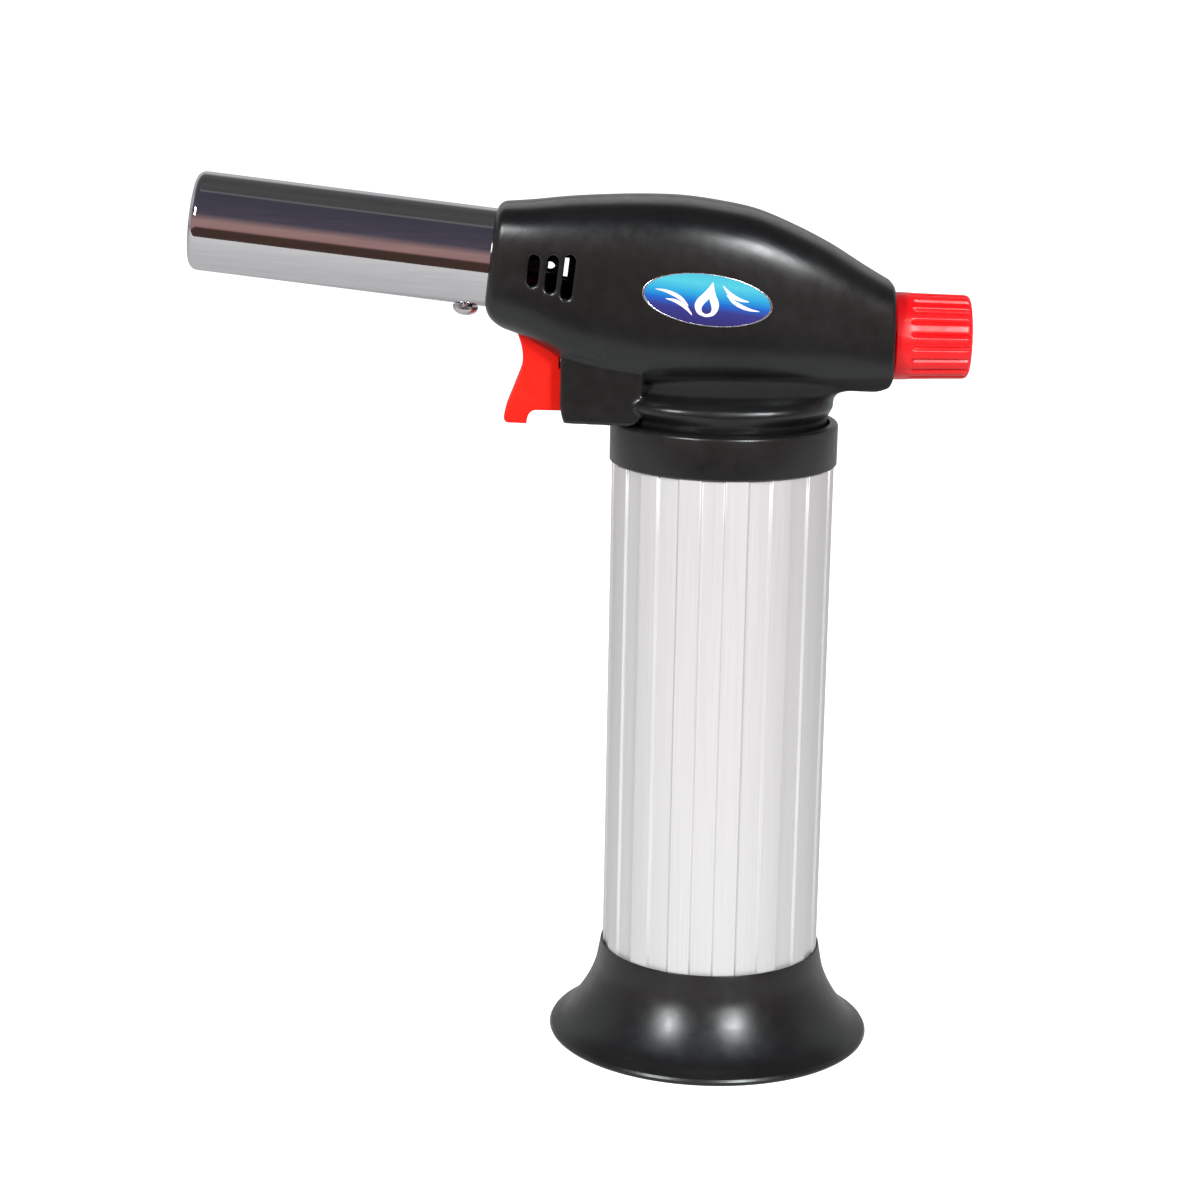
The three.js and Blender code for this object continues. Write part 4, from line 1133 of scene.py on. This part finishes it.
def bezier(p0, p1, p2, p3, steps=14):
    """Points on a cubic Bezier curve, without its first."""
    p = [np.array(q, float) for q in (p0, p1, p2, p3)]
    out = []
    for k in range(1, steps + 1):
        t = k / steps
        s = 1 - t
        out.append(tuple(s**3 * p[0] + 3 * s * s * t * p[1] + 3 * s * t * t * p[2] + t**3 * p[3]))
    return out


def trigger():
    front = [(-44.3, TRIGGER_TOP), (-44.7, 158)]
    front += bezier((-44.7, 158), (-43.1, 154.2), (-43, 151.6), (-44.4, 148.1))
    front += [(-47, 141.4)]
    front += bezier((-47, 141.4), (-47.7, 139.4), (-47.2, 138.6), (-46.4, 138.55), 8)
    front += [(-42.5, 138.45)]
    front += bezier((-42.5, 138.45), (-42.3, 140.2), (-41.9, 141.2), (-40.6, 141.35), 8)
    tail = [(-30.6, 141.35), (-30.6, 150.2), (CHEEK_BACK, 150.5)]
    outline = [(CHEEK_BACK, TRIGGER_TOP)] + front + tail
    bevel = 0.5
    turn = np.linspace(0, math.pi / 2, 6)
    rings = [(-TRIGGER_HALF + bevel * (1 - math.cos(a)), bevel * (1 - math.sin(a))) for a in turn]
    rings += [(-y, inset) for y, inset in rings[::-1]]
    lofts = [[(u, y, w) for u, w in shrunk(outline, inset)] for y, inset in rings]
    verts, faces = lofted(lofts)
    slider = piece(
        "trigger_slider", verts, faces, "trigger_plastic", "trigger", ["trigger"], sharp=38
    )
    half = 4.9
    corners = [(PUSHER_X, -half), (CHEEK_BACK + 1, -half), (CHEEK_BACK + 1, half), (PUSHER_X, half)]
    notch = lofted([[(x, y, z) for x, y in corners] for z in (150.7, TRIGGER_TOP + 1)])
    carve(slider, *notch, sharp=38)


def shrunk(outline, inset):
    """A closed outline moved inwards by inset."""
    p = np.array(outline, float)
    before = p - np.roll(p, 1, 0)
    after = np.roll(p, -1, 0) - p
    before /= np.linalg.norm(before, axis=1, keepdims=True)
    after /= np.linalg.norm(after, axis=1, keepdims=True)
    area = 0.5 * np.sum(p[:, 0] * np.roll(p[:, 1], -1) - np.roll(p[:, 0], -1) * p[:, 1])
    turn = 1 if area > 0 else -1
    n0 = turn * np.stack([-before[:, 1], before[:, 0]], 1)
    n1 = turn * np.stack([-after[:, 1], after[:, 0]], 1)
    middle = n0 + n1
    middle /= np.maximum(np.einsum("ij,ij->i", middle, n0), 0.35)[:, None]
    return p + middle * inset


# ---- Label and screws ----
def head_side(x, z, lift):
    """Where the label side of the head lies in Y at x and z, moved outwards by lift."""
    top, bottom, half, square = head_section(x)
    reach = (top - bottom) / 2 + lift
    square = square + np.where(z > (top + bottom) / 2, TOP_SQUARER, 0)
    up = np.abs(z - (top + bottom) / 2) / reach
    return -(half + lift) * (1 - up**square) ** (1 / square)


def on_label(u, v, lift):
    """A point of the label, u along it and v up it, lying lift off the head."""
    c, s = math.cos(LABEL_TILT), math.sin(LABEL_TILT)
    x = LABEL_X + c * u + s * v
    z = LABEL_Z - s * u + c * v
    return x, head_side(x, z, lift), z


def label():
    rim = [(1.0, 0.08), (1.0, 0.28), (0.993, 0.36), (0.98, 0.39), (0.968, 0.38), (0.96, 0.34)]
    verts, faces = lofted([label_ring(share, lift) for share, lift in rim])
    piece("label_rim", verts, faces[:-2], "steel", sharp=60)
    rings = [label_ring(0.965, 0.1)]
    for share in (0.965, 0.9, 0.8, 0.7, 0.6, 0.5, 0.4, 0.3, 0.2, 0.1, 0.02):
        rings.append(label_ring(share, 0.36))
    back = [label_ring(share, 0.1) for share in (0.02, 0.3, 0.6, 0.9)]
    verts, faces = lofted(rings + back, closed=True)
    piece("label_badge", verts, faces, "label_film", stands_for=["label_plate"], sharp=60)


# The printed flame, as left and right edges at heights over the label's middle.
FLAME_ROWS = [
    (-3.5, -0.2, 0.3),
    (-3.1, -1.5, 1.5),
    (-2.3, -2.2, 2.2),
    (-1.2, -2.5, 2.5),
    (0.0, -2.1, 2.3),
    (1.0, -1.3, 1.7),
    (2.0, -0.5, 1.25),
    (3.0, 0.15, 0.95),
    (3.8, 0.55, 0.7),
]
# The flame's inner tongue, which shows the film's own colour.
TONGUE_ROWS = [
    (-2.9, -0.1, 0.2),
    (-2.5, -0.8, 0.9),
    (-1.7, -1.0, 1.1),
    (-0.8, -0.6, 0.8),
    (0.1, 0.1, 0.4),
    (0.5, 0.25, 0.3),
]
# One printed stream line beside the flame, as lower and upper edges at places along the label.
STREAM_ROWS = [
    (-11.0, 0.85, 0.95),
    (-9.0, 0.5, 1.05),
    (-7.0, -0.15, 0.7),
    (-5.2, -0.95, -0.15),
    (-3.8, -1.8, -1.55),
]


def print_band(name, rows, upright, lift=(0.3, 0.4), look="label_print"):
    """A thin printed patch between two edges, drawn as rows across it."""
    rings = []
    for at, first, second in catmull(rows, 8):
        corners = [(first, lift[0]), (second, lift[0]), (second, lift[1]), (first, lift[1])]
        if upright:
            rings.append([on_label(edge, at, height) for edge, height in corners])
        else:
            rings.append([on_label(at, edge, height) for edge, height in corners])
    verts, faces = lofted(rings)
    piece(name, verts, faces, "label_film", look=look)


def label_print():
    print_band("label_print_flame", FLAME_ROWS, True)
    print_band("label_print_tongue", TONGUE_ROWS, True, (0.36, 0.44), "label_film")
    print_band("label_print_stream_1", STREAM_ROWS, False)
    below = [(u * 0.8 + 0.2, low - 1.75, high - 1.7) for u, low, high in STREAM_ROWS]
    print_band("label_print_stream_2", below, False)
    turned = [(-u, -high - 0.1, -low - 0.1) for u, low, high in STREAM_ROWS[::-1]]
    print_band("label_print_stream_3", turned, False)
    above = [(u * 0.8 - 0.2, low + 1.7, high + 1.75) for u, low, high in turned]
    print_band("label_print_stream_4", above, False)


def label_ring(share, lift):
    """The label's outline at a share of its size, lying lift off the head."""
    angles = np.arange(LABEL_POINTS) * 2 * math.pi / LABEL_POINTS
    u = LABEL_LONG * share * np.cos(angles)
    v = LABEL_UP * share * np.sin(angles)
    x, y, z = on_label(u, v, lift)
    return np.stack([x, y, z], 1)


def shell_screws():
    for i, (x, z, seat, depth) in enumerate(SHELL_SCREWS):
        low = seat + 0.1
        top = low + 1.7
        head = [
            (SCREW_SHANK_R, low),
            (SCREW_HEAD_R, low, 0.15),
            (SCREW_HEAD_R, low + 0.8, 0.25),
            (1.9, top, 0.8),
            (0, top),
        ]
        profile = [(0, -depth), (0.75, -depth), (SCREW_SHANK_R, -depth + 1.2)] + softened(head)
        verts, faces = revolved(profile, 56)
        node_name = f"shell_screw_{i + 1}"
        verts = along_y(verts, x, z)
        screw = piece(f"{node_name}_pan", verts, faces, "steel", stands_for=[node_name])
        for arm, arm_faces in cross_recess(1.45, top, 1.1):
            carve(screw, along_y(arm, x, z), arm_faces)


# ---- CAD nodes that stay ----
def finish_cad_nodes():
    slots = {part["node"]: part["material_slot"] for part in frame["record"]["subparts"]}
    for name, obj in frame["nodes"].items():
        if obj.hide_render:
            continue
        mesh = obj.data
        mesh.materials.clear()
        mesh.materials.append(MATERIALS[slots[name]])
        if "custom_normal" in mesh.attributes:
            mesh.attributes.remove(mesh.attributes["custom_normal"])
        mesh.shade_smooth()
        weld = obj.modifiers.new("weld", "WELD")
        weld.merge_threshold = 2e-6
        bevel = obj.modifiers.new("edges", "BEVEL")
        bevel.width = 0.12 * MM
        bevel.segments = 2
        bevel.limit_method = "ANGLE"
        bevel.angle_limit = math.radians(40)
        split = obj.modifiers.new("crisp", "EDGE_SPLIT")
        split.split_angle = math.radians(34)


# ---- Camera, light and floor ----
CAMERA_AT = (5.525, -607.682, 240.815)
CAMERA_RIGHT = (0.99982695, 0.00423725, 0.01811387)
CAMERA_UP = (-0.01860286, 0.22773446, 0.97354556)
LENS_MM = 85.5
SENSOR_MM = 36
SOFTBOX_AWAY = 2.2
SOFTBOX_SIZE = (0.44, 0.56)


def camera():
    data = bpy.data.cameras.new("camera")
    data.lens = LENS_MM
    data.sensor_width = SENSOR_MM
    data.clip_start = 0.01
    data.clip_end = 50
    obj = bpy.data.objects.new("camera", data)
    right, up = Vector(CAMERA_RIGHT), Vector(CAMERA_UP)
    turn = Matrix((right, up, right.cross(up))).transposed()
    obj.matrix_world = Matrix.Translation(Vector(CAMERA_AT) * MM) @ turn.to_4x4()
    scene.collection.objects.link(obj)
    scene.camera = obj


def softbox(name, azimuth, elevation, power):
    """A square area light that looks at the middle of the torch. Azimuth 0 lies towards -Y."""
    data = bpy.data.lights.new(name, "AREA")
    data.shape = "RECTANGLE"
    data.size, data.size_y = SOFTBOX_SIZE
    data.energy = power
    obj = bpy.data.objects.new(name, data)
    a, e = math.radians(azimuth), math.radians(elevation)
    way = Vector((math.sin(a) * math.cos(e), -math.cos(a) * math.cos(e), math.sin(e)))
    middle = (Vector(cad_low) + Vector(cad_high)) / 2
    obj.location = middle + way * SOFTBOX_AWAY
    obj.rotation_mode = "QUATERNION"
    obj.rotation_quaternion = way.to_track_quat("Z", "Y")
    scene.collection.objects.link(obj)


def sky_colours(tree, height, sky):
    """Colours by height, which is the sine of the elevation, from stops in degrees."""
    share = mapped(tree, height, -1, 1)
    stops = [((math.sin(math.radians(degrees)) + 1) / 2, colour) for degrees, colour in sky]
    return colours(tree, share, stops)


# The studio round the torch by elevation in degrees: on the camera's side, and behind the torch.
FRONT_SKY = [
    (-60, (0.075, 0.045, 0.038)),
    (-10, (0.085, 0.048, 0.04)),
    (-5, (0.46, 0.27, 0.26)),
    (8, (0.46, 0.28, 0.27)),
    (24, (0.10, 0.09, 0.125)),
    (76, (0.08, 0.075, 0.10)),
    (79, (0.28, 0.27, 0.29)),
    (82, (0.1, 0.1, 0.1)),
]
BACK_SKY = [
    (-60, (0.5, 0.5, 0.51)),
    (12, (0.5, 0.5, 0.51)),
    (27, (0.66, 0.66, 0.67)),
    (40, (0.14, 0.14, 0.145)),
    (62, (0.09, 0.092, 0.09)),
    (80, (0.1, 0.1, 0.1)),
]


def surroundings():
    """A studio that is dark overhead and on the camera's side, and pale behind the torch."""
    world = bpy.data.worlds.new("studio")
    scene.world = world
    world.use_nodes = True
    tree = world.node_tree
    background = tree.nodes["Background"]
    way = axes_of(tree, "Generated")
    behind = mapped(tree, way["Y"], -0.3, 0.25, how="SMOOTHSTEP")
    mix = node(tree, "ShaderNodeMix", data_type="RGBA")
    tree.links.new(behind, mix.inputs["Factor"])
    tree.links.new(sky_colours(tree, way["Z"], FRONT_SKY), mix.inputs[6])
    tree.links.new(sky_colours(tree, way["Z"], BACK_SKY), mix.inputs[7])
    tree.links.new(mix.outputs[2], background.inputs["Color"])
    seen = node(tree, "ShaderNodeBackground")
    seen.inputs["Color"].default_value = (1, 1, 1, 1)
    seen.inputs["Strength"].default_value = 1.05
    path = node(tree, "ShaderNodeLightPath")
    either = node(tree, "ShaderNodeMixShader")
    tree.links.new(path.outputs["Is Camera Ray"], either.inputs[0])
    tree.links.new(background.outputs["Background"], either.inputs[1])
    tree.links.new(seen.outputs["Background"], either.inputs[2])
    tree.links.new(either.outputs["Shader"], tree.nodes["World Output"].inputs["Surface"])


def floor():
    """A plain pale floor, cut short in front, that looks white to the camera."""
    size = 12
    front = -0.3
    mesh = bpy.data.meshes.new("floor")
    corners = [(-size, front, 0), (size, front, 0), (size, size, 0), (-size, size, 0)]
    mesh.from_pydata(corners, [], [(0, 1, 2, 3)])
    obj = bpy.data.objects.new("floor", mesh)
    scene.collection.objects.link(obj)
    material, tree, bsdf = shader("floor", (0.62, 0.62, 0.62), 0.8)
    bsdf.inputs["Emission Color"].default_value = (1, 1, 1, 1)
    path = node(tree, "ShaderNodeLightPath")
    glow = mapped(tree, path.outputs["Is Camera Ray"], 0, 1, 0.17, 1)
    tree.links.new(glow, bsdf.inputs["Emission Strength"])
    mesh.materials.append(material)


camera()
surroundings()
floor()
softbox("softbox_left", -39, 28, 33)
softbox("softbox_right", 24, 27, 40)
scene.view_settings.view_transform = "Standard"

foot()
sleeve()
collar()
flame_tube()
tube_screw()
burner()
knob()
trigger()
head_shell("head_shell_left", -1)
head_shell("head_shell_right", 1)
label()
label_print()
shell_screws()
springs()
finish_cad_nodes()
